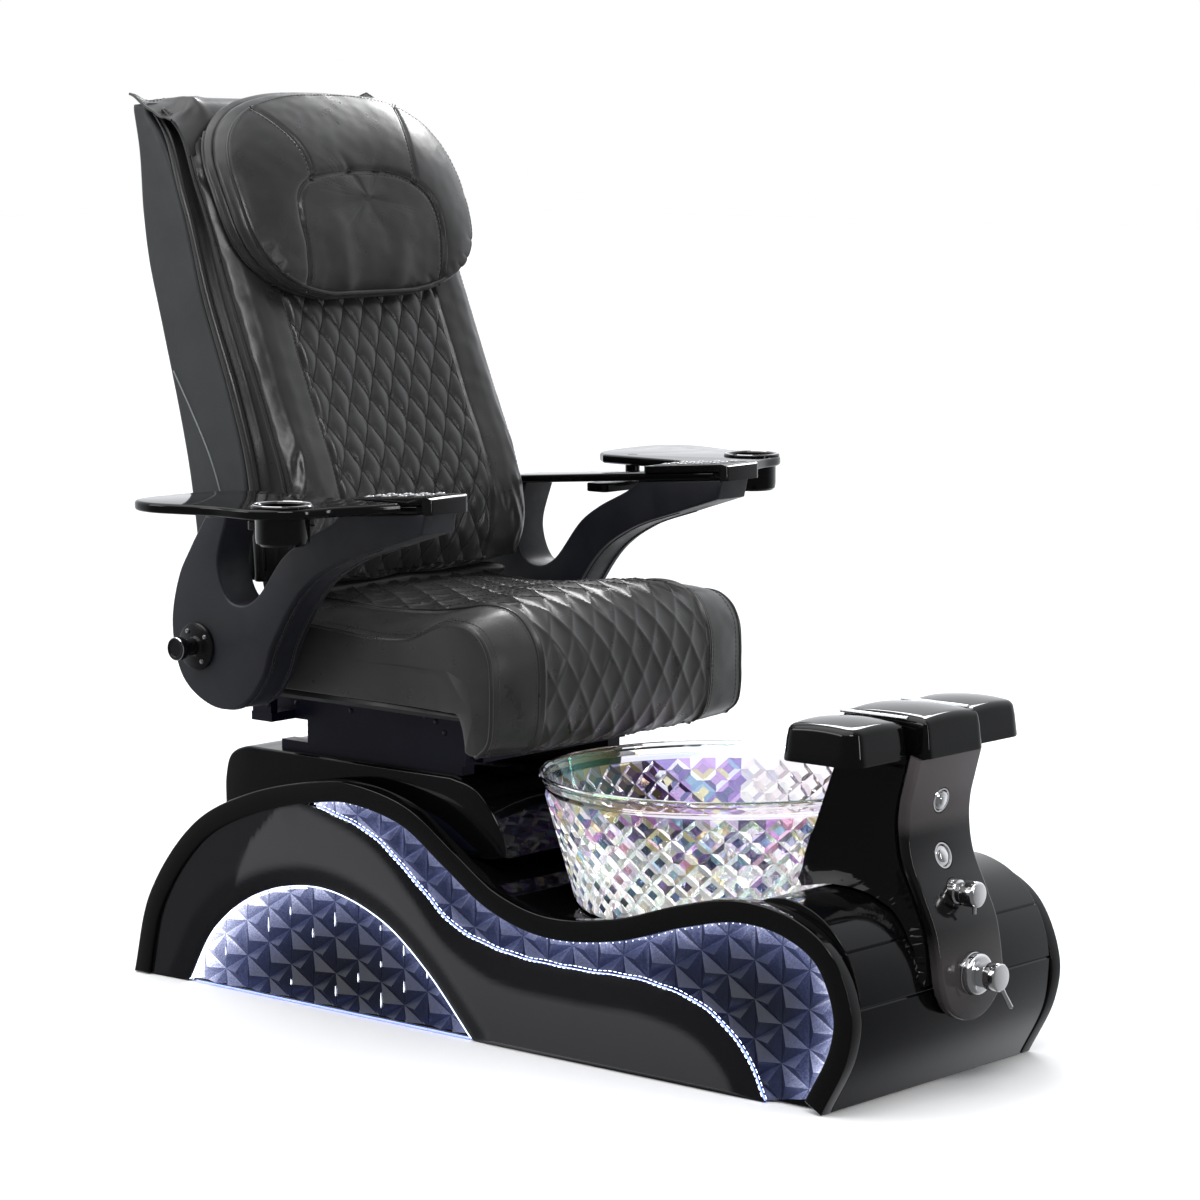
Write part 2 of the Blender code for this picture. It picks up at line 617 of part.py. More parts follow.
def head_pillow():
    rear = smooth([(-0.450, 1.098), (-0.5145, 1.250), (-0.567, 1.350), (-0.590, 1.395)])
    front = smooth([(-0.585, 1.412), (-0.548, 1.419), (-0.490, 1.385), (-0.446, 1.300),
                    (-0.415, 1.180), (-0.412, 1.110), (-0.432, 1.094)])
    pillow = plate("head_pillow", rear + front, "Y", -0.264, 0.264, "leather")
    half, middle, height = 0.264, 1.257, 0.165
    face = []
    for step in range(28):
        turn = 2 * math.pi * step / 28
        c, s = math.cos(turn), math.sin(turn)
        across, up = (math.copysign(abs(v) ** 0.72, v) for v in (c, s))
        face.append((half * across, middle + height * up))
    boolean(pillow, plate("pillow_face", face, "X", -0.70, -0.30), "INTERSECT")


def massage_unit():
    across = Vector((0, 1, 0))
    normal = GUIDE_WAY.cross(across)
    centre = GUIDE_LOW + GUIDE_WAY * 0.150
    place = Matrix((GUIDE_WAY, across, normal)).transposed().to_4x4()
    place.translation = centre
    carriage = box("massage_carriage", (-0.050, -0.100, -0.006), (0.050, 0.100, 0.006), "steel")
    toward_rear = 1 if normal.x < 0 else -1
    for side, sign in SIDES:
        ys = sorted((sign * 0.078, sign * 0.090))
        zs = sorted((0.0, -toward_rear * 0.026))
        join(carriage, moved(box("ear_" + side, (-0.012, ys[0], zs[0]), (0.012, ys[1], zs[1])), place))
    carriage.data.transform(place)
    axle = centre - normal * toward_rear * 0.018
    cut(carriage, rod("axle_hole", axle - across * 0.12, axle + across * 0.12, 0.0055))
    half_profile = [(0.005, 0.095), (0.005, 0.062), (0.0095, 0.058), (0.0095, 0.036), (0.005, 0.030)]
    profile = [(0.0, 0.095)] + half_profile + [(r, -h) for r, h in half_profile[::-1]] + [(0.0, -0.095)]
    turned("massage_rollers", profile, axle, (0, 1, 0), "rubber", steps=12)


def moved(obj, place):
    obj.data.transform(place)
    return obj


# Arms and trays
def board_z(x):
    share = (x - BOARD_REAR.x) / (BOARD_FRONT.x - BOARD_REAR.x)
    return BOARD_REAR.y + (BOARD_FRONT.y - BOARD_REAR.y) * share


def under_board(x):
    return (x, board_z(x) - BOARD_THICK - GAP)


def arms():
    lobe = smooth([
        under_board(-0.428), (-0.464, 0.724), (-0.490, 0.679), (-0.506, 0.600), (-0.482, 0.520),
        (-0.415, 0.482), (-0.353, 0.489), (-0.307, 0.536), (-0.286, 0.587), (-0.221, 0.677),
        (-0.150, 0.722), (-0.060, 0.752), (0.030, 0.780),
    ], steps=2)
    cove = smooth([
        under_board(-0.135), (-0.160, 0.782), (-0.220, 0.753), (-0.260, 0.726), (-0.320, 0.658),
        (-0.351, 0.645), (-0.381, 0.653), (-0.402, 0.704), under_board(-0.380),
    ], steps=2)
    outline = lobe + [Vector(under_board(0.038))] + cove
    board = [BOARD_REAR, BOARD_FRONT, BOARD_FRONT - Vector((0, BOARD_THICK)),
             BOARD_REAR - Vector((0, BOARD_THICK))]
    console = [(-0.120, board_z(-0.120) + GAP), (0.0415, board_z(0.0415) + GAP), (0.0415, 0.811),
               (0.053, 0.811), (0.047, 0.838), (-0.112, board_z(-0.112) + 0.011)]
    for side, sign in SIDES:
        span = sorted((sign * ARM_IN, sign * ARM_OUT))
        body = plate("arm_body_" + side, outline, "Y", *span, "arm_leather")
        hole = [PIVOT + Vector((0, sign * y, 0)) for y in (0.28, 0.40)]
        cut(body, rod("arm_hole_" + side, *hole, SHAFT_R + SLIDE_FIT))
        span = sorted((sign * (ARM_MID - BOARD_HALF), sign * (ARM_MID + BOARD_HALF)))
        plate("arm_board_" + side, board[::-1], "Y", *span, "gloss_black")
        span = sorted((sign * (ARM_MID - 0.046), sign * (ARM_MID + 0.046)))
        plate("console_" + side, console, "Y", *span, "console")
        hub = [(0.0, 0.048), (0.015, 0.048), (0.018, 0.044), (0.018, 0.034), (0.013, 0.032),
               (0.013, 0.006), (0.0365, 0.005), (0.0375, 0.0), (0.0, 0.0)]
        place = PIVOT + Vector((0, sign * (ARM_OUT + GAP), 0))
        turned("pivot_hub_" + side, hub, place, (0, sign, 0), "satin_black")
        tray_parts(side, sign)


def tray_parts(side, sign):
    pivot = Vector((TRAY_PIVOT.x, sign * TRAY_PIVOT.y, 0))
    span = sorted((sign * 0.330, sign * 0.440))
    bracket = box("tray_pivot_" + side, (-0.272, span[0], 0.772), (-0.228, span[1], 0.786), "satin_black")
    post = [(0.0, 0.042), (0.007, 0.042), (0.007, 0.0265), (0.012, 0.0265), (0.012, -0.004), (0.0, -0.004)]
    join(bracket, turned("post_" + side, post, pivot + Vector((0, 0, 0.785)), (0, 0, 1), steps=16))
    rounded = smooth([(0.006, 0.394), (-0.008, 0.440), (-0.030, 0.500), (-0.046, 0.560),
                      (-0.090, 0.598), (-0.180, 0.603), (-0.283, 0.627), (-0.332, 0.606),
                      (-0.345, 0.520), (-0.325, 0.430), (-0.290, 0.396)], steps=3)
    tray = plate("tray_" + side, on_side(rounded, sign), "Z", TRAY_Z, TRAY_Z + TRAY_THICK, "gloss_black")
    cup = Vector((CUP.x, sign * CUP.y, 0))
    for name, place, radius in (("pivot", pivot, 0.007 + SLIDE_FIT), ("cup", cup, CUP_R + 2 * SLIDE_FIT)):
        low, high = place + Vector((0, 0, 0.79)), place + Vector((0, 0, 0.85))
        cut(tray, rod(f"{name}_hole_{side}", low, high, radius, steps=24))
    lip = TRAY_Z + TRAY_THICK + GAP
    profile = [
        (0.046, lip + 0.003), (0.046, lip), (CUP_R, lip), (CUP_R, 0.774), (CUP_R - 0.003, 0.771),
        (0.004, 0.771), (0.004, 0.774), (CUP_R - 0.004, 0.776), (CUP_R - 0.003, lip + 0.003),
    ]
    turned("cup_holder_" + side, profile, cup, (0, 0, 1), "gloss_black")
    origin_on(tray, (pivot.x, pivot.y, TRAY_Z))


def shade_round_pieces():
    for obj in parts.objects:
        if obj.type == "MESH":
            obj.data.shade_smooth()
            obj.data.set_sharp_from_angle(angle=math.radians(35))


clear_scene()
floor_and_plinth()
base_shell()
side_panels()
drain()
bowl()
column()
controls()
footrest()
seat()
actuators()
backrest()
head_pillow()
massage_unit()
arms()
shade_round_pieces()
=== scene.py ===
"""Looks of a pedicure spa chair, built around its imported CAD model.

Metres. +X points to the footrest, +Y to the sitter's left, +Z up.
"""

import json
import math

import bmesh
import bpy
import numpy as np
from mathutils import Matrix, Vector, noise
from mathutils.geometry import delaunay_2d_cdt

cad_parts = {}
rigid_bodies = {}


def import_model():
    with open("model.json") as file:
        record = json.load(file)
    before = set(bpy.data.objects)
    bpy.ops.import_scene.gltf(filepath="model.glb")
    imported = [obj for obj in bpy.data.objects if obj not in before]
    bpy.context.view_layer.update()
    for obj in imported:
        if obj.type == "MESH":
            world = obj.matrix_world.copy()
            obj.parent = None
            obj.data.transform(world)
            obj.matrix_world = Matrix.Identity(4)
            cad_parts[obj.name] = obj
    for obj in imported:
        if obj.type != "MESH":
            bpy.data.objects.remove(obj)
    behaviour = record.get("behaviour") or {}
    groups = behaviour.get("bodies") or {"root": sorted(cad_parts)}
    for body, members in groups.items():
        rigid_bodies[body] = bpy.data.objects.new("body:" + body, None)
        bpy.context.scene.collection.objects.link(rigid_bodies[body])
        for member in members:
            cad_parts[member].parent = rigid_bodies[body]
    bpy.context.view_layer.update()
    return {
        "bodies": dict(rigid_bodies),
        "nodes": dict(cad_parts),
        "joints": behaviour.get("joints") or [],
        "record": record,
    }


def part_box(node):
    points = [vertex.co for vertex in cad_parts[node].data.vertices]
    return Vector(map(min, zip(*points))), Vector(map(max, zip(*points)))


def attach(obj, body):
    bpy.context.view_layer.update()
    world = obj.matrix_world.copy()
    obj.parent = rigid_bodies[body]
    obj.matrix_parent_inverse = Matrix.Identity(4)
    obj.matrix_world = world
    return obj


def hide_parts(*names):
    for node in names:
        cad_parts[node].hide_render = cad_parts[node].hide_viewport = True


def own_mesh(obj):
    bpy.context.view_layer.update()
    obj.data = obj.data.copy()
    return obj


# Sizes shared with the CAD model
GAP = 0.0003
BASE_HALF = 0.255
SHELL_HALF = 0.230
RIM_WIDTH = 0.033
PANEL_FACE = 0.2445
WAVE_FACE = 0.2515
DECK_Z = 0.205
HUMP_Z = 0.268
PLINTH_TOP = 0.388
BOWL_X = 0.300
BOWL_FOOT_R = 0.2226
BOWL_RIM_R = 0.2825
BOWL_RIM_Z = 0.416
GLASS = 0.009
PIVOT = np.array((-0.448, 0.0, 0.574))
ARM_IN, ARM_OUT = 0.305, 0.375
ARM_MID = (ARM_IN + ARM_OUT) / 2
BOARD_REAR, BOARD_FRONT = (-0.430, 0.790), (0.040, 0.826)
BOARD_THICK = 0.013
BOARD_HALF = 0.040
TRAY_Z = 0.812
TRAY_THICK = 0.015
TRAY_PIVOT = (-0.250, 0.425)
CUP = (-0.090, 0.540)
CUP_R = 0.040
STRIP_HALF = 0.077
FOOTREST_Z = 0.4853
SIDES = (("right", -1), ("left", 1))

BASE_OUTLINE = [
    (-0.737, 0.0), (-0.698, 0.134), (-0.592, 0.262), (-0.465, 0.325), (-0.309, 0.362),
    (-0.241, 0.367), (-0.120, 0.344), (-0.025, 0.288), (0.060, 0.238), (0.161, 0.214),
    (0.292, 0.227), (0.419, 0.265), (0.526, 0.287), (0.623, 0.276), (0.694, 0.235),
    (0.732, 0.150), (0.724, 0.085), (0.679, 0.0),
]
WAVE_LINE = [
    (-0.349, 0.324), (-0.204, 0.288), (-0.103, 0.222), (-0.030, 0.170), (0.080, 0.143),
    (0.220, 0.138), (0.353, 0.140), (0.466, 0.116), (0.538, 0.062), (0.573, 0.0),
]
ARCH_LINE = [
    (-0.616, 0.0), (-0.556, 0.095), (-0.452, 0.166), (-0.316, 0.193), (-0.186, 0.161),
    (-0.091, 0.097), (0.008, 0.0),
]

for old in list(bpy.data.objects):
    bpy.data.objects.remove(old, do_unlink=True)
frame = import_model()


# Curves and grids of points
def curve(points, count=0, spacing=0.0):
    """Evenly spaced points of a smooth curve through the given ones."""
    knots = np.array(points, float)
    knots = np.vstack([2 * knots[0] - knots[1], knots, 2 * knots[-1] - knots[-2]])
    found = []
    for a, b, c, d in zip(knots, knots[1:], knots[2:], knots[3:]):
        t1 = max(np.linalg.norm(b - a), 1e-5) ** 0.5
        t2 = t1 + max(np.linalg.norm(c - b), 1e-5) ** 0.5
        t3 = t2 + max(np.linalg.norm(d - c), 1e-5) ** 0.5
        for t in np.linspace(t1, t2, 24, endpoint=False):
            ab = a * (t1 - t) / t1 + b * t / t1
            bc = b * (t2 - t) / (t2 - t1) + c * (t - t1) / (t2 - t1)
            cd = c * (t3 - t) / (t3 - t2) + d * (t - t2) / (t3 - t2)
            abc = ab * (t2 - t) / t2 + bc * t / t2
            bcd = bc * (t3 - t) / (t3 - t1) + cd * (t - t1) / (t3 - t1)
            found.append(abc * (t2 - t) / (t2 - t1) + bcd * (t - t1) / (t2 - t1))
    found.append(knots[-2])
    return evenly(np.array(found), count, spacing)


def lengths(line):
    """Distance along a line at each of its points."""
    steps = np.linalg.norm(np.diff(line, axis=0), axis=1)
    return np.concatenate([[0.0], np.cumsum(steps)])


def evenly(line, count=0, spacing=0.0):
    line = np.asarray(line, float)
    run = lengths(line)
    count = count or max(int(round(run[-1] / spacing)) + 1, 2)
    want = np.linspace(0, run[-1], count)
    return np.stack([np.interp(want, run, line[:, k]) for k in range(line.shape[1])], 1)


def inset(line, distance):
    """A 2-D line moved to its right, kept above the floor."""
    along = np.gradient(line, axis=0)
    along /= np.linalg.norm(along, axis=1)[:, None]
    moved = line + np.stack([along[:, 1], -along[:, 0]], 1) * distance
    moved[:, 1] = np.maximum(moved[:, 1], 0.0)
    return moved


def away(points, line):
    """Distance of each 2-D point from a line."""
    points, line = np.asarray(points, float), np.asarray(line, float)
    start, step = line[:-1], np.diff(line, axis=0)
    size = np.maximum((step**2).sum(1), 1e-12)
    best = np.full(len(points), 1e9)
    for s, d, n in zip(start, step, size):
        t = np.clip(((points - s) @ d) / n, 0, 1)
        best = np.minimum(best, np.linalg.norm(points - (s + t[:, None] * d), axis=1))
    return best


def within(points, outline):
    """Whether each 2-D point lies inside a closed outline."""
    x, y = np.asarray(points, float).T
    inside = np.zeros(len(x), bool)
    for (x0, y0), (x1, y1) in zip(outline, np.roll(outline, -1, axis=0)):
        if y0 == y1:
            continue
        crosses = ((y0 > y) != (y1 > y)) & (x < (x1 - x0) * (y - y0) / (y1 - y0) + x0)
        inside ^= crosses
    return inside


def step_up(values, low, high):
    """Smooth rise from 0 at low to 1 at high."""
    t = np.clip((np.asarray(values, float) - low) / (high - low), 0, 1)
    return t * t * (3 - 2 * t)


def weights(coarse, fine, closed):
    """Matrix that takes a row of coarse points to fine ones on a cubic through them."""
    matrix = np.zeros((fine, coarse))
    span = coarse if closed else coarse - 1
    for row, place in enumerate(np.linspace(0, span, fine, endpoint=not closed)):
        k = int(min(place, span - 1e-9))
        t = place - k
        basis = (
            (-t + 2 * t * t - t**3) / 2, (2 - 5 * t * t + 3 * t**3) / 2,
            (t + 4 * t * t - 3 * t**3) / 2, (t**3 - t * t) / 2,
        )
        for offset, value in zip((-1, 0, 1, 2), basis):
            column = (k + offset) % coarse if closed else min(max(k + offset, 0), coarse - 1)
            matrix[row, column] += value
    return matrix


def grid_normals(grid, closed_columns=True):
    """Unit normals of a grid of points whose columns may close on themselves."""
    if closed_columns:
        across = np.roll(grid, -1, 1) - np.roll(grid, 1, 1)
    else:
        across = np.gradient(grid, axis=1)
    along = np.gradient(grid, axis=0)
    normal = np.cross(across, along)
    return normal / np.maximum(np.linalg.norm(normal, axis=2), 1e-9)[..., None]


def ripple(points, scale, seed=0.0):
    """Smooth noise between about -1 and 1 at each point."""
    flat = np.asarray(points, float).reshape(-1, 3) * scale
    values = [noise.noise(Vector((p[0] + seed, p[1], p[2]))) for p in flat]
    return np.array(values).reshape(np.asarray(points).shape[:-1])


# Meshes
class Shape:
    """Points and faces that gather into one mesh."""

    def __init__(self):
        self.points = []
        self.faces = []

    def add(self, points, faces):
        start = len(self.points)
        self.points.extend(tuple(float(v) for v in p) for p in points)
        self.faces.extend(tuple(start + int(i) for i in f) for f in faces)
        return self

    def grid(self, grid, closed_columns=True, caps=True):
        rows, columns = grid.shape[:2]
        wide = columns if closed_columns else columns - 1
        faces = []
        for r in range(rows - 1):
            for c in range(wide):
                d = (c + 1) % columns
                faces.append((r * columns + c, r * columns + d, (r + 1) * columns + d, (r + 1) * columns + c))
        if caps and closed_columns:
            faces.append(tuple(range(columns))[::-1])
            faces.append(tuple((rows - 1) * columns + c for c in range(columns)))
        return self.add(grid.reshape(-1, 3), faces)

    def tube(self, path, radius, sides=8, closed=False, flat=1.0):
        """A round section swept along a path; flat below 1 makes it lower than it is wide."""
        path = np.asarray(path, float)
        along = np.roll(path, -1, 0) - np.roll(path, 1, 0) if closed else np.gradient(path, axis=0)
        along /= np.maximum(np.linalg.norm(along, axis=1), 1e-12)[:, None]
        radius = np.broadcast_to(np.asarray(radius, float), len(path))
        side = np.cross(along[0], (0.0, 0.0, 1.0))
        if np.linalg.norm(side) < 0.1:
            side = np.cross(along[0], (0.0, 1.0, 0.0))
        turns = np.linspace(0, 2 * math.pi, sides, endpoint=False)
        rows = []
        for point, way, r in zip(path, along, radius):
            side = side - way * np.dot(side, way)
            side /= max(np.linalg.norm(side), 1e-12)
            up = np.cross(side, way)
            rows.append(point + r * (np.outer(np.cos(turns), side) + flat * np.outer(np.sin(turns), up)))
        grid = np.array(rows)
        if closed:
            grid = np.concatenate([grid, grid[:1]])
            return self.grid(grid, caps=False)
        return self.grid(grid)

    def turned(self, profile, place, axis, steps=48):
        """A solid of revolution; the profile holds (radius, height) points from the top down."""
        axis = Vector(axis).normalized()
        turn = np.array(Vector((0, 0, 1)).rotation_difference(axis).to_matrix())
        angles = np.linspace(0, 2 * math.pi, steps, endpoint=False)
        rows = []
        for r, h in profile:
            r = max(r, 1e-5)
            ring = np.stack([r * np.cos(angles), r * np.sin(angles), np.full(steps, h)], 1)
            rows.append(ring @ turn.T + np.array(place))
        return self.grid(np.array(rows))

    def ball(self, place, radius, stretch=(0, 0, 0), sides=6):
        """A small bead, drawn out along stretch."""
        way = np.array(stretch, float)
        size = np.linalg.norm(way)
        axis = way / size if size > 1e-9 else np.array((0.0, 0.0, 1.0))
        reach = radius + size
        path = [np.array(place) + axis * reach * t for t in (-1.0, -0.75, 0.0, 0.75, 1.0)]
        return self.tube(path, [radius * 0.15, radius * 0.75, radius, radius * 0.75, radius * 0.15], sides)


def build(shape, name, look, body, replaces=(), sharp=35, weld=0.0):
    """The mesh object of a shape, with its material, riding on a body."""
    mesh = bpy.data.meshes.new(name)
    mesh.from_pydata(shape.points, [], shape.faces)
    work = bmesh.new()
    work.from_mesh(mesh)
    if weld:
        bmesh.ops.remove_doubles(work, verts=work.verts, dist=weld)
    bmesh.ops.recalc_face_normals(work, faces=work.faces)
    work.to_mesh(mesh)
    work.free()
    obj = bpy.data.objects.new(name, mesh)
    bpy.context.scene.collection.objects.link(obj)
    return dress(obj, look, body, replaces, sharp)


def dress(obj, look, body, replaces=(), sharp=35):
    obj.data.materials.clear()
    obj.data.materials.append(look)
    obj.data.shade_smooth()
    if sharp:
        obj.data.set_sharp_from_angle(angle=math.radians(sharp))
    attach(obj, body)
    if replaces:
        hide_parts(*([replaces] if isinstance(replaces, str) else replaces))
    return obj


LAY = {
    "X": lambda a, b, t: (t, a, b),
    "Y": lambda a, b, t: (a, t, b),
    "Z": lambda a, b, t: (a, b, t),
}


def prism(name, outline, axis, low, high, rounding=0.0, segments=4, reshape=None):
    """A prism of a closed outline along an axis, with its two rims rounded."""
    lay = LAY[axis]
    work = bmesh.new()
    count = len(outline)
    ends = [[work.verts.new(lay(p[0], p[1], t)) for p in outline] for t in (low, high)]
    work.faces.new(ends[0])
    work.faces.new(ends[1][::-1])
    for i in range(count):
        j = (i + 1) % count
        work.faces.new((ends[0][j], ends[0][i], ends[1][i], ends[1][j]))
    bmesh.ops.recalc_face_normals(work, faces=work.faces)
    if rounding:
        rims = [e for e in work.edges if any(all(v in end for v in e.verts) for end in ends)]
        bmesh.ops.bevel(
            work, geom=rims, offset=rounding, offset_type="OFFSET", segments=segments,
            profile=0.5, affect="EDGES", clamp_overlap=True,
        )
    bmesh.ops.triangulate(work, faces=[f for f in work.faces if len(f.verts) > 4], ngon_method="BEAUTY")
    if reshape:
        for vertex in work.verts:
            vertex.co = Vector(reshape(*vertex.co))
    mesh = bpy.data.meshes.new(name)
    work.to_mesh(mesh)
    work.free()
    obj = bpy.data.objects.new(name, mesh)
    bpy.context.scene.collection.objects.link(obj)
    return obj


def carve(obj, *cutters):
    """Cuts other meshes from an object and removes them."""
    for cutter in cutters:
        step = obj.modifiers.new("carve", "BOOLEAN")
        step.operation = "DIFFERENCE"
        step.object = cutter
    bake(obj)
    for cutter in cutters:
        bpy.data.objects.remove(cutter, do_unlink=True)
    return obj


def bake(obj):
    """Applies an object's modifiers to its mesh."""
    bpy.context.view_layer.update()
    graph = bpy.context.evaluated_depsgraph_get()
    mesh = bpy.data.meshes.new_from_object(obj.evaluated_get(graph))
    obj.modifiers.clear()
    obj.data = mesh


def loose(shape, name):
    """A plain mesh object of a shape, used as a cutter."""
    mesh = bpy.data.meshes.new(name)
    mesh.from_pydata(shape.points, [], shape.faces)
    work = bmesh.new()
    work.from_mesh(mesh)
    bmesh.ops.remove_doubles(work, verts=work.verts, dist=2e-5)
    bmesh.ops.recalc_face_normals(work, faces=work.faces)
    work.to_mesh(mesh)
    work.free()
    obj = bpy.data.objects.new(name, mesh)
    bpy.context.scene.collection.objects.link(obj)
    return obj


def stitches(shape, path, length=0.0045, gap=0.003, radius=0.0006):
    """A row of thread stitches along a path."""
    run = lengths(path)
    places = np.arange(length, run[-1] - length, length + gap)
    points = np.stack([np.interp(places, run, path[:, k]) for k in range(3)], 1)
    ahead = np.stack([np.interp(places + length / 2, run, path[:, k]) for k in range(3)], 1)
    for a, b in zip(points, ahead):
        shape.ball(a, radius, b - a, sides=5)
    return shape


# Materials
class Look:
    """A Principled material whose sockets take values or procedural textures."""

    def __init__(self, name, colour, roughness, metallic=0.0):
        self.material = bpy.data.materials.new(name)
        self.material.use_nodes = True
        self.tree = self.material.node_tree
        self.shader = self.tree.nodes["Principled BSDF"]
        self.place = self.node("ShaderNodeTexCoord").outputs["Object"]
        self.set("Base Color", (*colour, 1.0))
        self.set("Roughness", roughness)
        self.set("Metallic", metallic)
        self.colour = colour
        self.material.diffuse_color = (*colour, 1.0)

    def node(self, kind, **settings):
        made = self.tree.nodes.new(kind)
        for key, value in settings.items():
            setattr(made, key, value)
        return made

    def set(self, socket, value):
        self.shader.inputs[socket].default_value = value
        return self

    def link(self, output, target):
        self.tree.links.new(output, target)

    def noise(self, scale, detail=4.0, stretch=(1, 1, 1), distortion=0.0):
        mapping = self.node("ShaderNodeMapping")
        mapping.inputs["Scale"].default_value = stretch
        self.link(self.place, mapping.inputs["Vector"])
        made = self.node("ShaderNodeTexNoise")
        made.inputs["Scale"].default_value = scale
        made.inputs["Detail"].default_value = detail
        made.inputs["Distortion"].default_value = distortion
        self.link(mapping.outputs["Vector"], made.inputs["Vector"])
        return made.outputs["Fac"]

    def cells(self, scale, feature="DISTANCE_TO_EDGE"):
        made = self.node("ShaderNodeTexVoronoi", feature=feature)
        made.inputs["Scale"].default_value = scale
        self.link(self.place, made.inputs["Vector"])
        return made.outputs["Distance"]

    def spread(self, output, low, high, start=0.3, end=0.7):
        made = self.node("ShaderNodeMapRange")
        made.inputs["From Min"].default_value = start
        made.inputs["From Max"].default_value = end
        made.inputs["To Min"].default_value = low
        made.inputs["To Max"].default_value = high
        self.link(output, made.inputs["Value"])
        return made.outputs["Result"]

    def shades(self, output, dark, light, start=0.3, end=0.7):
        """Base colour that varies between two tones of the material's colour."""
        ramp = self.node("ShaderNodeValToRGB")
        ramp.color_ramp.elements[0].position = start
        ramp.color_ramp.elements[1].position = end
        ramp.color_ramp.elements[0].color = (*[c * dark for c in self.colour], 1.0)
        ramp.color_ramp.elements[1].color = (*[min(c * light, 1.0) for c in self.colour], 1.0)
        self.link(output, ramp.inputs["Fac"])
        self.link(ramp.outputs["Color"], self.shader.inputs["Base Color"])
        return self

    def rough(self, output, low, high, start=0.3, end=0.7):
        self.link(self.spread(output, low, high, start, end), self.shader.inputs["Roughness"])
        return self

    def bump(self, output, strength, distance):
        made = self.node("ShaderNodeBump")
        made.inputs["Strength"].default_value = strength
        made.inputs["Distance"].default_value = distance
        self.link(output, made.inputs["Height"])
        normal = self.shader.inputs["Normal"]
        if normal.is_linked:
            self.link(normal.links[0].from_socket, made.inputs["Normal"])
        self.link(made.outputs["Normal"], normal)
        return self


def gloss(name, colour, roughness=0.07, coat=0.15, specular=0.22):
    """Lacquered or polished moulded plastic, with faint polishing marks and orange peel."""
    look = Look(name, colour, roughness)
    look.shades(look.noise(6.0), 0.8, 1.25)
    look.rough(look.noise(35.0, 6.0), roughness * 0.7, roughness * 1.6)
    look.bump(look.noise(160.0, 2.0), 0.05, 0.0004)
    look.bump(look.noise(9.0, 2.0), 0.12, 0.0008)
    look.set("Specular IOR Level", specular).set("Coat Weight", coat).set("Coat Roughness", 0.03)
    return look.material


def moulded(name, colour, roughness, grain=900.0, depth=0.0002):
    """Fine-textured moulded plastic."""
    look = Look(name, colour, roughness)
    look.shades(look.noise(12.0), 0.85, 1.2)
    look.rough(look.noise(60.0), roughness * 0.85, roughness * 1.15)
    look.bump(look.noise(grain, 3.0), 0.5, depth)
    return look.material


def leather(name, colour, roughness=0.36, grain=0.00022, sheen=0.06):
    """Coated upholstery leather: pebbled grain, soft creases, polish that varies in patches."""
    look = Look(name, colour, roughness)
    look.shades(look.noise(7.0, 5.0), 0.75, 1.3)
    look.rough(look.noise(24.0, 5.0), roughness * 0.82, roughness * 1.25)
    look.bump(look.cells(900.0), 0.35, grain)
    look.bump(look.noise(420.0, 3.0), 0.25, grain)
    look.bump(look.noise(38.0, 2.0), 0.10, 0.0010)
    look.set("Sheen Weight", sheen).set("Sheen Roughness", 0.4)
    return look.material


def metal(name, colour, roughness, brush=(1, 1, 1), marks=0.25):
    look = Look(name, colour, roughness, 1.0)
    look.shades(look.noise(30.0), 0.92, 1.05)
    look.rough(look.noise(120.0, 4.0, brush), roughness * (1 - marks), roughness * (1 + marks))
    look.bump(look.noise(300.0, 3.0, brush), 0.08, 0.0001)
    return look.material


def painted(name, colour, roughness):
    """Powder-coated steel."""
    look = Look(name, colour, roughness)
    look.shades(look.noise(18.0), 0.8, 1.2)
    look.rough(look.noise(70.0), roughness * 0.85, roughness * 1.2)
    look.bump(look.noise(1400.0, 2.0), 0.3, 0.00015)
    look.set("Coat Weight", 0.05).set("Specular IOR Level", 0.25)
    return look.material


def lamp(name, colour, strength):
    look = Look(name, (0.4, 0.45, 0.6), 0.4)
    look.shades(look.noise(80.0), 0.9, 1.1)
    look.set("Emission Color", (*colour, 1.0)).set("Emission Strength", strength)
    return look.material


def glowing(name, colour, attribute, strength):
    """Grained panel plastic that glows where a mesh attribute says that lamp light falls."""
    look = Look(name, colour, 0.3)
    look.shades(look.noise(14.0), 0.8, 1.25)
    look.rough(look.noise(50.0), 0.24, 0.42)
    look.bump(look.noise(700.0, 3.0), 0.25, 0.0002)
    look.set("Coat Weight", 0.08).set("Coat Roughness", 0.15).set("Specular IOR Level", 0.25)
    made = look.node("ShaderNodeAttribute", attribute_name=attribute)
    speckle = look.node("ShaderNodeMix", data_type="RGBA", blend_type="MULTIPLY")
    speckle.inputs["Factor"].default_value = 1.0
    look.link(made.outputs["Color"], speckle.inputs["A"])
    mottle = look.node("ShaderNodeCombineColor")
    level = look.spread(look.noise(420.0, 5.0), 0.55, 1.5)
    for channel in ("Red", "Green", "Blue"):
        look.link(level, mottle.inputs[channel])
    look.link(mottle.outputs["Color"], speckle.inputs["B"])
    look.link(speckle.outputs["Result"], look.shader.inputs["Emission Color"])
    look.set("Emission Strength", strength)
    return look.material


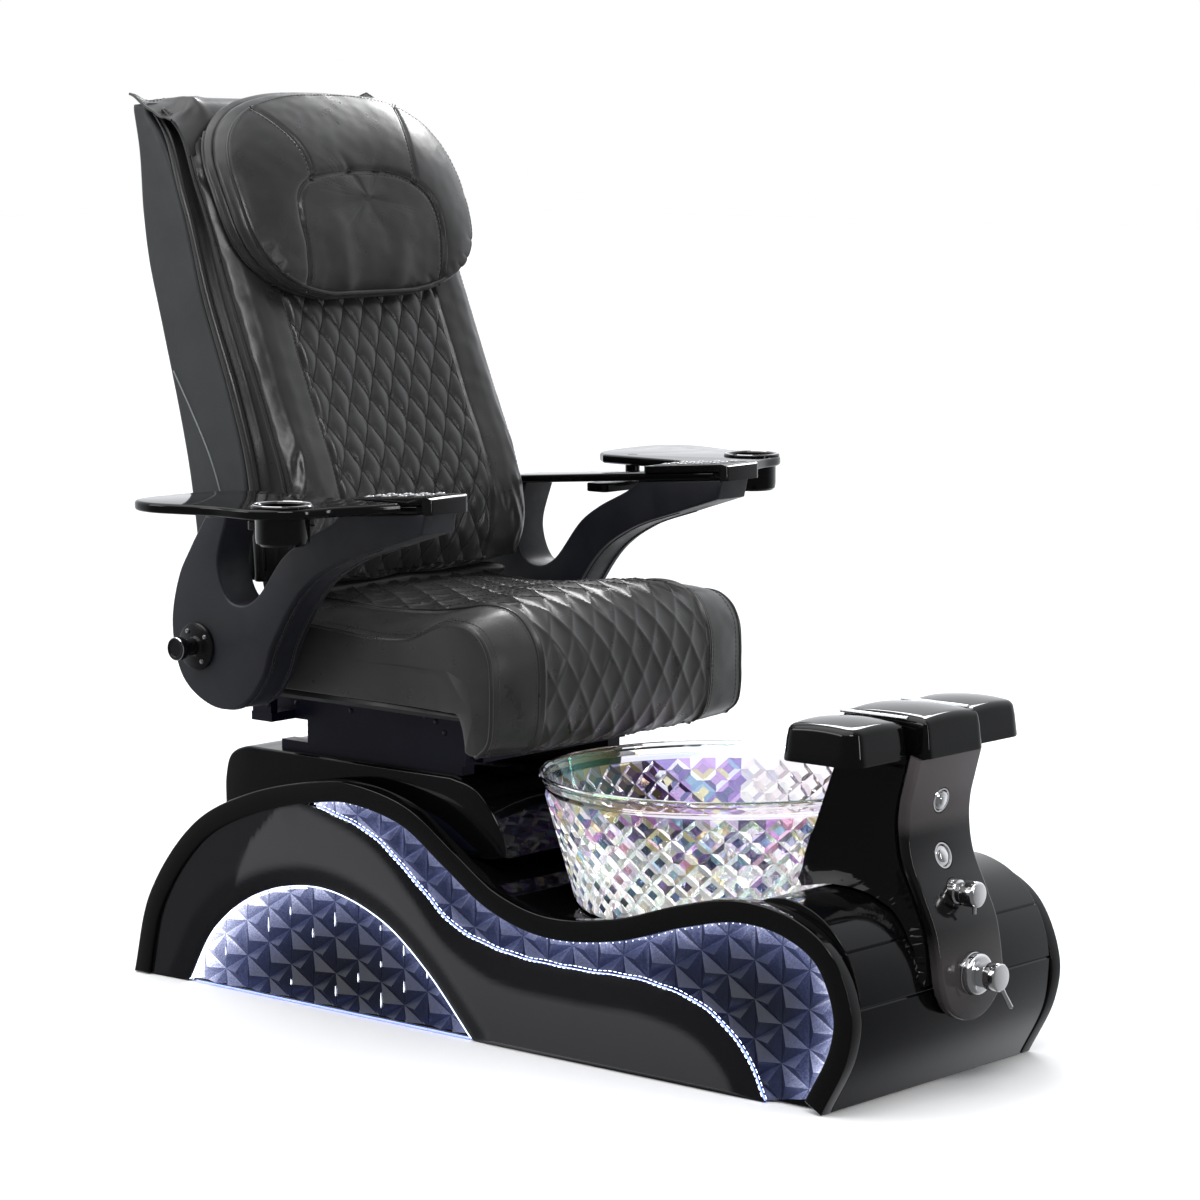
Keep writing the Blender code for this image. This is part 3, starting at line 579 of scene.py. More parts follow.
def reflection_toned(name, dark, light):
    """Lacquer whose grey comes from the tone attribute painted on the piece: painted reflection of the bright
    backdrop, and on the wave panel partly its own satin grey.
    """
    look = Look(name, light, 0.12)
    made = look.node("ShaderNodeAttribute", attribute_name="tone")
    mix = look.node("ShaderNodeMix", data_type="RGBA")
    mix.inputs["A"].default_value = (*dark, 1.0)
    mix.inputs["B"].default_value = (*light, 1.0)
    look.link(made.outputs["Fac"], mix.inputs["Factor"])
    look.link(mix.outputs["Result"], look.shader.inputs["Base Color"])
    look.rough(look.noise(35.0, 6.0), 0.08, 0.2)
    look.bump(look.noise(9.0, 2.0), 0.12, 0.0008)
    look.set("Specular IOR Level", 0.3).set("Coat Weight", 0.2).set("Coat Roughness", 0.03)
    return look.material


PIANO = gloss("piano_black", (0.0020, 0.0020, 0.0022), 0.06, 0.12, 0.2)
SHELL_BLACK = gloss("shell_black", (0.0022, 0.0023, 0.0026), 0.08, 0.12, 0.18)
SATIN = gloss("satin_black", (0.004, 0.004, 0.0045), 0.18, 0.12, 0.18)
# The light grey of these two lacquers is painted reflection carried by the tone attribute
SATIN_WAVE = reflection_toned("wave_black", (0.004, 0.004, 0.0048), (0.044, 0.044, 0.047))
SMOKE = reflection_toned("smoke_black", (0.0025, 0.0025, 0.0028), (0.062, 0.054, 0.056))
LEATHER = leather("black_leather", (0.0175, 0.0172, 0.0168), 0.31)
PIPING = leather("piping_leather", (0.016, 0.016, 0.016), 0.3, 0.0001)
ARM_LEATHER = leather("arm_leather", (0.006, 0.0066, 0.0115), 0.48, 0.00015, 0.05)
SIDE_LEATHER = leather("side_leather", (0.0045, 0.0047, 0.0055), 0.45, 0.00012, 0.03)
THREAD = moulded("black_thread", (0.030, 0.030, 0.031), 0.6, 2500.0, 0.0001)
SEAM = moulded("sewn_seam", (0.003, 0.003, 0.003), 0.7, 2500.0, 0.0001)
SHELL_GREY = moulded("textured_shell", (0.020, 0.023, 0.024), 0.5, 1300.0, 0.0003)
CHROME = metal("chrome", (0.78, 0.78, 0.79), 0.09)
STEEL = metal("steel", (0.42, 0.43, 0.45), 0.3, (1, 12, 1))
NAVY = painted("navy_steel", (0.0016, 0.0018, 0.010), 0.38)
RUBBER = moulded("rubber", (0.02, 0.02, 0.02), 0.75, 500.0)
BOARD = moulded("seat_board", (0.06, 0.05, 0.04), 0.7, 200.0, 0.0004)
LED_WHITE = lamp("lamp_white", (0.78, 0.84, 1.0), 3.2)
LED_BLUE = lamp("lamp_blue", (0.10, 0.17, 1.0), 2.2)
PANEL = glowing("faceted_panel", (0.006, 0.007, 0.012), "glow", 1.0)


# Base
def arc(points, centre, radius, start, end, steps=8):
    """Adds the points of an arc, in degrees, to an outline."""
    for angle in np.linspace(math.radians(start), math.radians(end), steps):
        points.append((centre[0] + radius * math.cos(angle), centre[1] + radius * math.sin(angle)))


def grooved(line, places, depth=0.0016, width=0.0022):
    """The line with a narrow V groove at the point nearest each place."""
    line = evenly(line, spacing=0.0011)
    along = np.gradient(line, axis=0)
    along /= np.linalg.norm(along, axis=1)[:, None]
    right = np.stack([along[:, 1], -along[:, 0]], 1)
    run = lengths(line)
    moved = line.copy()
    near = np.zeros(len(line), bool)
    for place in places:
        centre = run[np.argmin(np.linalg.norm(line - np.array(place), axis=1))]
        dip = np.clip(1 - np.abs(run - centre) / width, 0, 1)
        moved += right * (dip * depth)[:, None]
        near |= np.abs(run - centre) < 2 * width
    keep = near | (np.arange(len(line)) % 6 == 0)
    keep[0] = keep[-1] = True
    return moved[keep]


def base_shell():
    rear = curve([(-0.715, 0.0), (-0.680, 0.125), (-0.590, 0.235), (-0.540, 0.263), (-0.500, HUMP_Z)], 60)
    slope = curve([(-0.060, HUMP_Z), (-0.022, 0.264), (0.012, 0.240), (0.040, 0.214), (0.075, DECK_Z)], 40)
    roller = curve([
        (0.470, DECK_Z), (0.488, 0.216), (0.505, 0.252), (0.530, 0.276), (0.565, 0.291), (0.600, 0.295),
        (0.660, 0.275), (0.708, 0.225), (0.7295, 0.155), (0.722, 0.085), (0.678, 0.0),
    ], 240)
    roller = grooved(roller, [(0.703, 0.232), (0.7295, 0.154)])
    section = np.vstack([rear, slope, roller])
    half = SHELL_HALF
    shell = prism("middle_moulding", section, "Y", -half, half, 0.003)
    pocket_r = BOWL_FOOT_R + 0.012
    pocket = Shape().turned(
        [(pocket_r + 0.035, 0.12), (pocket_r, 0.0)], (BOWL_X, 0, DECK_Z + 0.0002), (0, 0, 1), 96
    )
    carve(shell, loose(pocket, "pocket"))
    dress(shell, SHELL_BLACK, "base", "base_shell", 30)


def panel_lines():
    edge = curve(BASE_OUTLINE, 260)
    return edge, inset(edge, RIM_WIDTH + GAP), curve(WAVE_LINE, 130), curve(ARCH_LINE, 110)


def patch(outline, heights, creases=(), spacing=0.012, back=SHELL_HALF + GAP):
    """A panel in XZ cut to an outline, with its outer face at the heights that a function gives."""
    outline = np.asarray(outline, float)
    keep = np.linalg.norm(outline - np.roll(outline, 1, 0), axis=1) > 2e-4
    outline = outline[keep]
    low, high = outline.min(0), outline.max(0)
    xs = np.arange(low[0], high[0], spacing)
    zs = np.arange(low[1], high[1], spacing)
    fill = np.array([(x + (j % 2) * spacing / 2, z) for j, z in enumerate(zs) for x in xs])
    closed = np.vstack([outline, outline[:1]])
    fill = fill[within(fill, outline) & (away(fill, closed) > spacing * 0.35)]
    if len(creases):
        ends = np.array(creases).reshape(-1, 2, 2)
        clear = np.full(len(fill), 1e9)
        for a, b in ends:
            clear = np.minimum(clear, away(fill, np.array([a, b])))
        fill = fill[clear > spacing * 0.2]
    points = [Vector(p) for p in outline]
    count = len(points)
    edges = [(i, (i + 1) % count) for i in range(count)]
    for a, b in creases:
        edges.append((len(points), len(points) + 1))
        points += [Vector(a), Vector(b)]
    points += [Vector(p) for p in fill]
    made, _, faces, *_ = delaunay_2d_cdt(points, edges, [], 0, 1e-6)
    flat = np.array([tuple(p) for p in made])
    faces = np.array([f for f in faces if len(f) == 3])
    centres = flat[faces].mean(1)
    faces = faces[within(centres, outline)]
    used, index = np.unique(faces, return_inverse=True)
    flat, faces = flat[used], index.reshape(faces.shape)
    face = heights(flat)
    count = len(flat)
    top = np.stack([flat[:, 0], -face, flat[:, 1]], 1)
    bottom = np.stack([flat[:, 0], np.full(count, -back), flat[:, 1]], 1)
    sides = {}
    for a, b, c in faces:
        for pair in ((a, b), (b, c), (c, a)):
            if pair[::-1] in sides:
                del sides[pair[::-1]]
            else:
                sides[pair] = True
    all_faces = [tuple(f) for f in faces] + [tuple(count + i for i in f[::-1]) for f in faces]
    all_faces += [(b, a, count + a, count + b) for a, b in sides]
    return Shape().add(np.vstack([top, bottom]), all_faces)


def mirrored(shape, sign):
    """The shape for one side; shapes are made for the right-hand side."""
    if sign < 0:
        return shape
    made = Shape()
    points = [(x, -y, z) for x, y, z in shape.points]
    return made.add(points, [f[::-1] for f in shape.faces])


LATTICE = 0.057
VALLEY, PEAK = 0.2322, 0.2442
STEP_X = LATTICE * math.sqrt(3) / 2


def pyramids(points):
    """Height of the faceted relief: three-sided pyramids on a triangular lattice."""
    points = np.asarray(points, float)
    column = points[:, 0] / STEP_X
    row = points[:, 1] / LATTICE - column / 2
    u, v = column - np.floor(column), row - np.floor(row)
    upper = u + v > 1
    a, b = np.where(upper, 1 - u, u), np.where(upper, 1 - v, v)
    share = 3 * np.minimum(np.minimum(a, b), 1 - a - b)
    return VALLEY + (PEAK - VALLEY) * np.clip(share, 0, 1)


def facet_creases(low, high):
    """Lattice edges and pyramid ridges that reach a box."""
    found = []
    for i in range(int(low[0] / STEP_X) - 2, int(high[0] / STEP_X) + 3):
        for j in range(int(low[1] / LATTICE) - 16, int(high[1] / LATTICE) + 17):
            def corner(di, dj):
                return np.array(((i + di) * STEP_X, (j + dj) * LATTICE + (i + di) * LATTICE / 2))
            lower = (corner(0, 0), corner(1, 0), corner(0, 1))
            upper = (corner(1, 0), corner(1, 1), corner(0, 1))
            for triangle in (lower, upper):
                middle = sum(triangle) / 3
                if not (low[0] - STEP_X < middle[0] < high[0] + STEP_X):
                    continue
                if not (low[1] - LATTICE < middle[1] < high[1] + LATTICE):
                    continue
                found.append((triangle[0], triangle[1]))
                found.append((triangle[1], triangle[2]))
                found.append((triangle[2], triangle[0]))
                found.extend((tuple(middle), tuple(p)) for p in triangle)
    seen, once = set(), []
    for a, b in found:
        key = tuple(sorted((tuple(np.round(a, 5)), tuple(np.round(b, 5)))))
        if key not in seen:
            seen.add(key)
            once.append(key)
    return once


def glow(obj, lamps):
    """Colours each face corner by the lamp light it takes: lamps are (line, reach, strength)."""
    mesh = obj.data
    points = np.empty(len(mesh.vertices) * 3)
    mesh.vertices.foreach_get("co", points)
    flat = points.reshape(-1, 3)[:, [0, 2]]
    light = np.zeros(len(flat))
    for line, reach, strength in lamps:
        line = np.asarray(line, float)
        distance = away(flat, line[:, :2])
        if line.shape[1] == 3:
            gaps = np.linalg.norm(flat[:, None] - line[None, :, :2], axis=2)
            strength = strength * line[gaps.argmin(1), 2]
        light += strength * (0.45 * np.exp(-distance / reach) + 0.9 * np.exp(-distance / (reach * 0.25)))
    colours = mesh.color_attributes.new("glow", "FLOAT_COLOR", "CORNER")
    values = np.zeros((len(mesh.loops), 4))
    for face in mesh.polygons:
        n = face.normal
        facing = 0.42 + 1.5 * max(n.z, 0.0) + 0.45 * n.x
        if abs(n.y) < 0.3:
            facing = 0.25
        for loop in face.loop_indices:
            amount = light[mesh.loops[loop].vertex_index] * max(facing, 0.12)
            white = amount / (amount + 0.7)
            values[loop] = (amount * (0.24 + 0.7 * white), amount * (0.33 + 0.62 * white), amount, 1.0)
    colours.data.foreach_set("color", values.ravel())


def paint(obj, name, shade):
    """Writes a grey level to a vertex attribute, from each vertex's place in the XZ plane."""
    mesh = obj.data
    points = np.empty(len(mesh.vertices) * 3)
    mesh.vertices.foreach_get("co", points)
    level = shade(points.reshape(-1, 3)[:, [0, 2]])
    values = np.ones((len(level), 4))
    values[:, :3] = level[:, None]
    mesh.color_attributes.new(name, "FLOAT_COLOR", "POINT").data.foreach_set("color", values.ravel())


def side_panels():
    edge, panel_edge, wave, arch = panel_lines()
    tip = int(np.argmin(np.linalg.norm(panel_edge - np.array(WAVE_LINE[0]), axis=1)))
    low_wave = inset(wave, 0.008)
    low_wave = low_wave[low_wave[:, 0] > WAVE_LINE[0][0] + 0.02]
    swoosh = np.vstack([panel_edge[: tip + 1], wave[1:], arch[::-1]])
    upper = np.vstack([panel_edge[tip + 1:], low_wave[::-1]])
    inner_arch = inset(arch, -0.008)
    fold = curve([(-0.375, 0.335), (-0.430, 0.282), (-0.468, 0.243), (-0.497, 0.188), (-0.503, 0.168)], 30)

    def swoosh_face(p):
        band = 0.0046 * (1 - np.clip(away(p, wave) / 0.050, 0, 1))
        round_arch = 0.0046 * (1 - np.clip(away(p, arch) / 0.042, 0, 1))
        behind = np.clip((np.interp(p[:, 1], fold[::-1, 1], fold[::-1, 0]) - p[:, 0]) / 0.20, 0, 1)
        edges = 0.0015 * np.exp(-np.minimum(away(p, wave), away(p, arch)) / 0.0015)
        return WAVE_FACE - np.minimum(band + round_arch, 0.0055) - 0.0035 * behind - edges

    spacing = 0.007
    shapes = {
        "wave_panel": patch(swoosh, swoosh_face, spacing=spacing, back=PANEL_FACE + GAP),
        "upper_panel": patch(upper, pyramids, facet_creases(upper.min(0), upper.max(0)), spacing * 1.4),
        "arch_panel": patch(
            inner_arch, pyramids, facet_creases(inner_arch.min(0), inner_arch.max(0)), spacing * 1.4),
    }
    rim_lamp = panel_edge[tip:]
    fade = np.interp(rim_lamp[:, 0], [-0.35, -0.2, 0.15, 0.5, 0.68], [0.95, 0.45, 0.5, 0.55, 1.0])
    fade *= np.interp(rim_lamp[:, 1], [0.0, 0.06, 0.2], [1.1, 1.25, 1.0])
    rim_lamp = np.column_stack([rim_lamp, fade])
    wave_fade = np.interp(wave[:, 0], [-0.349, -0.25, 0.1, 0.5], [1.3, 0.5, 0.22, 0.10])
    wave_lamp = np.column_stack([wave, wave_fade])
    arch_fade = np.interp(arch[:, 0], [-0.616, -0.50, -0.40, -0.25, -0.05], [4.2, 3.2, 1.5, 0.55, 0.42])
    arch_lamp = np.column_stack([arch, arch_fade])
    floor_lamp = np.array([(-0.6, 0.0, 0.25), (-0.3, 0.0, 0.12), (0.0, 0.0, 0.12)])
    lamps = {
        "upper_panel": [(rim_lamp, 0.034, 0.80), (wave_lamp, 0.018, 0.6)],
        "arch_panel": [(arch_lamp, 0.036, 0.80), (floor_lamp, 0.02, 0.5)],
    }

    # Painted reflection: the wave panel's grey stands in partly for the backdrop mirrored in it and is partly
    # its own satin grey; it is dark near the wave and arch and behind the fold, and darker towards the bottom
    def tone(p):
        beyond = np.interp(p[:, 1], fold[::-1, 1], fold[::-1, 0])
        band = np.interp(p[:, 0], [-0.36, -0.15, 0.05], [0.004, 0.016, 0.045])
        grey = step_up(away(p, wave) - band, -0.004, 0.010) * step_up(away(p, arch), 0.022, 0.040)
        return grey * step_up(p[:, 0] - beyond, -0.003, 0.003) * (0.75 + 0.25 * step_up(p[:, 1], 0.0, 0.2))

    for side, sign in SIDES:
        rim = np.vstack([edge, inset(edge, RIM_WIDTH)[::-1]])
        faces = sorted((sign * (SHELL_HALF + GAP), sign * BASE_HALF))
        frame = prism(f"rim_{side}", rim, "Y", *faces, 0.007, 5)
        dress(frame, PIANO, "base", f"side_rim_{side}")
        for kind, shape in shapes.items():
            look, slot = (SATIN_WAVE, "satin_black") if kind == "wave_panel" else (PANEL, "texture_grey")
            sharp = 30 if kind == "wave_panel" else 6
            turned = mirrored(shape, sign)
            obj = build(turned, f"{kind}_cover_{side}", look, "base", f"{kind}_{side}", sharp)
            if kind in lamps:
                glow(obj, lamps[kind])
            else:
                # Painted reflection on the wave panel, through the tone attribute
                paint(obj, "tone", tone)
        lights(side, sign, panel_edge[tip:], wave, arch)


def beads(shape, line, y, spacing, radius, shift=0.0):
    """A row of small lamps along an XZ line."""
    run = lengths(line)
    for place in np.arange(spacing / 2 + shift, run[-1], spacing):
        x, z = (np.interp(place, run, line[:, k]) for k in range(2))
        shape.ball((x, y, max(z, radius * 1.2)), radius, sides=6)


def raised(line, y):
    """An XZ line as 3-D points at a distance to the side."""
    return np.stack([line[:, 0], np.full(len(line), y), np.maximum(line[:, 1], 0.0035)], 1)


def lights(side, sign, rim, wave, arch):
    line = evenly(inset(wave, -0.0030), spacing=0.008)
    line = line[line[:, 0] > WAVE_LINE[0][0] + 0.03]
    y = sign * (WAVE_FACE - 0.0035)
    wobble = np.stack([np.zeros(len(line)), 0.0008 * np.sin(np.arange(len(line)) * 0.8)], 1)
    ribbon = Shape().tube(raised(line, y), 0.0015, 8, flat=0.6)
    build(ribbon, f"wave_light_{side}", LED_BLUE, "base", f"light_strip_{side}")
    dots = Shape()
    for offset, out in ((0.0, 0.0006), (-0.0042, 0.0036)):
        row = raised(evenly(inset(line + wobble, offset), spacing=0.004), sign * (WAVE_FACE - out))
        stitches(dots, row, 0.0055, 0.0042, 0.0007)
    build(dots, f"wave_beads_{side}", LED_WHITE, "base")
    bright = evenly(inset(arch, 0.0), spacing=0.006)
    path = raised(evenly(inset(arch, 0.0016), spacing=0.006), sign * (PANEL_FACE + 0.0004))
    thin = Shape().tube(path, 0.0009, 6)
    build(thin, f"arch_light_{side}", LED_SOFT, "base")
    strip = Shape()
    left = bright[bright[:, 0] < -0.33]
    path = raised(evenly(inset(left, 0.0050), spacing=0.004), sign * (PANEL_FACE - 0.0005))
    stitches(strip, path, 0.007, 0.003, 0.0011)
    # Painted glints: short lamp lines on the arch's vertical valley creases stand in for light reflected in
    # them
    rng = np.random.default_rng(4)
    for i in range(-11, 1):
        for j in range(-8, 12):
            x, z = i * STEP_X, (j + 0.5) * LATTICE + i * LATTICE / 2
            reach = rng.uniform(0.004, 0.012)
            if not within(np.array([(x, z)]), arch)[0] or rng.random() < 0.62 or z < reach + 0.004:
                continue
            y = sign * (VALLEY + 0.0010)
            spots = [(x, y, z + reach * share) for share in (-1, -0.3, 1)]
            strip.tube(spots, [0.0002, 0.0007, 0.0002], 6)
    build(strip, f"arch_beads_and_glints_{side}", LED_WHITE, "base")
    path = [(x, sign * (PANEL_FACE - 0.001), 0.0022) for x in np.linspace(-0.60, 0.0, 40)]
    floor = Shape().tube(path, 0.0012, 6)
    build(floor, f"floor_light_{side}", LED_BLUE, "base")
    rim_dots = Shape()
    beads(rim_dots, evenly(inset(rim, 0.0022), spacing=0.004), sign * (PANEL_FACE - 0.0004), 0.013, 0.0010)
    build(rim_dots, f"rim_beads_{side}", LED_SOFT, "base")


def plinth():
    side = curve(
        [(-0.575, 0.290), (-0.574, 0.335), (-0.562, 0.370), (-0.530, 0.386), (-0.480, PLINTH_TOP)], 40)
    nose = curve([(-0.080, PLINTH_TOP), (-0.030, 0.376), (0.012, 0.335), (0.032, 0.295), (0.036, 0.276)], 40)
    floor = HUMP_Z + GAP
    outline = np.vstack([[(-0.540, floor)], side, nose, [(-0.010, floor)]])
    step = prism("plinth_cover", outline, "Y", -0.200, 0.200, 0.014, 5)
    dress(step, SHELL_BLACK, "base", "seat_plinth")


# Foot bowl
TABLE = 0.48
EDGE, UNDER, OVER, TABLE_FACE = range(4)


def bowl():
    """A cut-glass bowl: diamond facets outside, a smooth band and lip at the rim, smooth inside."""
    around, rows = 42, 11
    base = DECK_Z + GAP
    low, high = base + 0.010, BOWL_RIM_Z - 0.027
    slope = (BOWL_RIM_R - BOWL_FOOT_R) / (BOWL_RIM_Z - base)
    shape = Shape()
    wide = 2 * math.pi / around

    def at(angle, z, out=0.0):
        r = BOWL_FOOT_R + slope * (z - base) - 0.0048 + out
        return (BOWL_X + r * math.cos(angle), r * math.sin(angle), z)

    heights = np.linspace(low, high, rows)
    points, faces, kinds = [], [], []
    for j, z in enumerate(heights):
        for i in range(around):
            points.append(at((i + 0.5 * (j % 2)) * wide, z))

    def index(j, i):
        return j * around + i % around

    for j in range(rows):
        for i in range(around):
            left, right = index(j, i), index(j, i + 1)
            shift = i + 1 if j % 2 else i
            middle = (i + 0.5 + 0.5 * (j % 2)) * wide
            if j in (0, rows - 1):
                points.append(at(middle, heights[j], 0.0012))
                other = index(1 if j == 0 else rows - 2, shift)
                peak = len(points) - 1
                ring = (left, right, other) if j else (right, left, other)
                faces += [(ring[k], ring[(k + 1) % 3], peak) for k in range(3)]
                kinds += [EDGE] * 3
                continue
            corners = (left, index(j - 1, shift), right, index(j + 1, shift))
            step = TABLE * (heights[1] - heights[0])
            spots = ((-TABLE * wide / 2, 0), (0, -step), (TABLE * wide / 2, 0), (0, step))
            first = len(points)
            points += [at(middle + turn, heights[j] + rise, 0.0044) for turn, rise in spots]
            for k in range(4):
                n = (k + 1) % 4
                faces.append((corners[k], corners[n], first + n, first + k))
                kinds.append(UNDER if k < 2 else OVER)
            faces.append(tuple(first + k for k in range(4)))
            kinds.append(TABLE_FACE)
    faces = [f[::-1] for f in faces]
    # Foot ring, inside wall and rim as rings that share the first and last facet rows
    angles = np.arange(around) * wide
    turned_low = [(BOWL_FOOT_R - 0.001, base + 0.004), (BOWL_FOOT_R - 0.005, base)]
    inner = [
        (0.0232, base), (0.0232, base + GLASS), (BOWL_FOOT_R - 0.026, base + GLASS),
        (BOWL_FOOT_R - 0.012, base + 0.014), (BOWL_FOOT_R - GLASS + 0.001, base + 0.030),
        (BOWL_RIM_R - GLASS - 0.0045, BOWL_RIM_Z - 0.030), (BOWL_RIM_R - GLASS - 0.0005, BOWL_RIM_Z - 0.004),
        (BOWL_RIM_R - GLASS + 0.0015, BOWL_RIM_Z - 0.0008), (BOWL_RIM_R - 0.0045, BOWL_RIM_Z),
        (BOWL_RIM_R - 0.0012, BOWL_RIM_Z - 0.0012), (BOWL_RIM_R, BOWL_RIM_Z - 0.004),
        (BOWL_RIM_R - 0.0012, BOWL_RIM_Z - 0.0075), (BOWL_RIM_R - 0.0050, BOWL_RIM_Z - 0.0105),
        (BOWL_RIM_R - 0.0068, BOWL_RIM_Z - 0.0180),
    ]
    start = len(points)
    rings = turned_low + inner
    for r, z in rings:
        points += [(BOWL_X + r * math.cos(a), r * math.sin(a), z) for a in angles]
    last = start + (len(rings) - 1) * around
    for k in range(around):
        n = (k + 1) % around
        faces.append((index(0, k), index(0, n), start + n, start + k))
        for r in range(len(rings) - 1):
            a, b = start + r * around, start + (r + 1) * around
            faces.append((a + k, a + n, b + n, b + k))
        faces.append((last + k, last + n, index(rows - 1, n), index(rows - 1, k)))
    shape.add(points, faces)
    obj = build(shape, "foot_bowl", GLASS_LOOK, "base", "bowl", 12)
    tint(obj, heights, kinds)


def tint(obj, heights, kinds):
    """Paints each facet its own glow and base tint, standing in for the light that the film and the lamp
    give: painted light, brighter on the near side, and painted reflection colours on the far wall; the rest
    is left clear.
    """
    mesh = obj.data
    rng = np.random.default_rng(11)
    colours = mesh.color_attributes.new("facet", "FLOAT_COLOR", "CORNER")
    values = np.zeros((len(mesh.loops), 4))
    values[:, 3] = 1.0
    # Base colour of each facet: the film's tint, with painted reflection colours on the far wall
    tint_and_reflection_layer = mesh.color_attributes.new("film", "FLOAT_COLOR", "CORNER")
    tint_and_reflection = np.ones((len(mesh.loops), 4))
    pale = np.array([
        (1.0, 1.0, 1.0), (0.94, 0.98, 1.0), (0.88, 1.0, 0.98), (1.0, 0.98, 0.88), (0.9, 0.88, 1.0),
    ])
    deep = np.array([
        (0.02, 0.03, 0.08), (0.04, 0.08, 0.18), (0.10, 0.15, 0.27), (0.22, 0.27, 0.36), (0.03, 0.03, 0.04),
    ])
    rich = np.array([
        (0.52, 0.24, 0.66), (0.85, 0.42, 0.66), (0.95, 0.84, 0.42), (0.30, 0.55, 0.70), (0.20, 0.14, 0.42),
        (0.95, 0.93, 0.98), (0.10, 0.08, 0.16), (0.65, 0.62, 0.85), (0.75, 0.86, 0.80),
    ])
    night = np.array([
        (0.10, 0.06, 0.26), (0.20, 0.10, 0.40), (0.05, 0.05, 0.16), (0.32, 0.16, 0.46), (0.12, 0.24, 0.42),
        (0.80, 0.78, 0.95), (0.62, 0.52, 0.24),
    ])
    blush = np.array([
        (0.80, 0.64, 0.58), (0.78, 0.72, 0.72), (0.68, 0.54, 0.54), (0.84, 0.78, 0.72), (0.52, 0.48, 0.58),
    ])
    for face, kind in zip(mesh.polygons[: len(kinds)], kinds):
        centre = face.center
        height = (centre.z - heights[0]) / (heights[-1] - heights[0])
        angle = math.atan2(centre.y, centre.x - BOWL_X)
        # Painted light: front brightens the facets on the near side, and is set dim on the far wall below
        front = 0.76 + 0.24 * math.cos(angle + 1.15)
        far = math.cos(angle - 2.3) > 0.2
        colourful = rng.random() < 0.10 + 0.75 * max(height - 0.42, 0.0) / 0.58
        # Painted reflection: far-wall facets take the night and blush colours of what shows through the glass
        if far and angle % (2 * math.pi) > 2.15:
            tone = night[rng.integers(len(night))] * (1.0 if kind != TABLE_FACE else 0.6)
            front = 0.30
        elif far:
            tone = blush[rng.integers(len(blush))] * (0.95 if kind != TABLE_FACE else 0.75)
            front = 0.12
        elif colourful:
            tone = rich[rng.integers(len(rich))] * (0.75 - 0.25 * height)
        elif kind == TABLE_FACE:
            tone = deep[rng.integers(len(deep))] if rng.random() < 0.75 else pale[rng.integers(5)] * 0.8
        # Painted light: facets that face up are pale, those that face down dimmer
        elif kind == OVER:
            tone = pale[rng.integers(5)] * (1.0 - 0.25 * height)
        else:
            tone = pale[rng.integers(5)] * rng.choice([0.4, 0.75, 1.0]) * (1.0 - 0.2 * height)
        light = tone * front * (0.55 + 0.45 * (rng.random() < 0.8))
        for loop in face.loop_indices:
            values[loop] = (*light, 1.0)
            tint_and_reflection[loop] = (*np.clip(tone * (1.0 if far else 1.2), 0.03, 1.0), 1.0)
    colours.data.foreach_set("color", values.ravel())
    tint_and_reflection_layer.data.foreach_set("color", tint_and_reflection.ravel())


def glass_look():
    """Clear glass with a thin iridescent film; a mesh attribute lights the cut facets."""
    look = Look("cut_glass", (0.97, 0.98, 1.0), 0.03)
    look.set("Transmission Weight", 1.0).set("IOR", 1.46)
    look.set("Thin Film Thickness", 420.0).set("Thin Film IOR", 1.7)
    look.set("Coat Weight", 0.4).set("Coat Roughness", 0.02)
    # Painted light: the facet attribute drives emission; the film attribute tints the glass, partly as
    # painted reflection
    made = look.node("ShaderNodeAttribute", attribute_name="facet")
    film = look.node("ShaderNodeAttribute", attribute_name="film")
    look.link(film.outputs["Color"], look.shader.inputs["Base Color"])
    look.rough(look.noise(30.0), 0.01, 0.06)
    look.bump(look.noise(45.0, 2.0), 0.1, 0.0006)
    look.link(made.outputs["Color"], look.shader.inputs["Emission Color"])
    look.set("Emission Strength", 0.5)
    return look.material


def drain():
    """A grille over the drain on the bowl's floor."""
    z = DECK_Z + GLASS + 0.0045
    grille = Shape()
    grille.turned([(0.0, 0.0030), (0.030, 0.0024), (0.034, 0.0006), (0.034, -0.0002), (0.0, -0.0002)],
                  (BOWL_X, 0, z), (0, 0, 1), 48)
    for turn in np.linspace(0, 2 * math.pi, 12, endpoint=False):
        way = np.array((math.cos(turn), math.sin(turn), 0.0))
        grille.tube([np.array((BOWL_X, 0, z + 0.0030)) + way * r for r in (0.008, 0.015, 0.022)], 0.0011, 6)
    build(grille, "drain_grille", CHROME, "base")


# Column, strip and controls
# Painted reflection on the control strip: its grey level by height
STRIP_REFLECTION = [
    (0.090, 0.30), (0.180, 0.55), (0.215, 0.25), (0.240, 0.0), (0.370, 0.0), (0.392, 0.60), (0.480, 1.0),
]


def strip_line():
    return curve([
        (0.714, 0.4845), (0.704, 0.448), (0.696, 0.416), (0.694, 0.382), (0.701, 0.337),
        (0.724, 0.287), (0.744, 0.242), (0.753, 0.198), (0.758, 0.147), (0.757, 0.104),
    ], 110)


CONTROLS = {
    "flush_button": (0.421, (0.982, -0.188), 0.0195),
    "light_button": (0.337, (0.954, 0.301), 0.0205),
    "diverter_knob": (0.277, (1.0, 0.0), 0.0190),
    "mixer_collar": (0.184, (1.0, 0.0), 0.0310),
}


def control_place(name):
    """Where a control sits on the strip's face, taken from its CAD node, and the way it faces."""
    facing = CONTROLS[name][1]
    facing = np.array((facing[0], 0.0, facing[1]))
    facing /= np.linalg.norm(facing)
    line = strip_line()
    low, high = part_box(name)
    middle = (low.z + high.z) / 2
    if name in ("diverter_knob", "mixer_collar"):
        middle = {"diverter_knob": 0.287, "mixer_collar": 0.1726}[name]
    x = np.interp(-middle, -line[:, 1], line[:, 0])
    return np.array((x, 0.0, middle)), facing


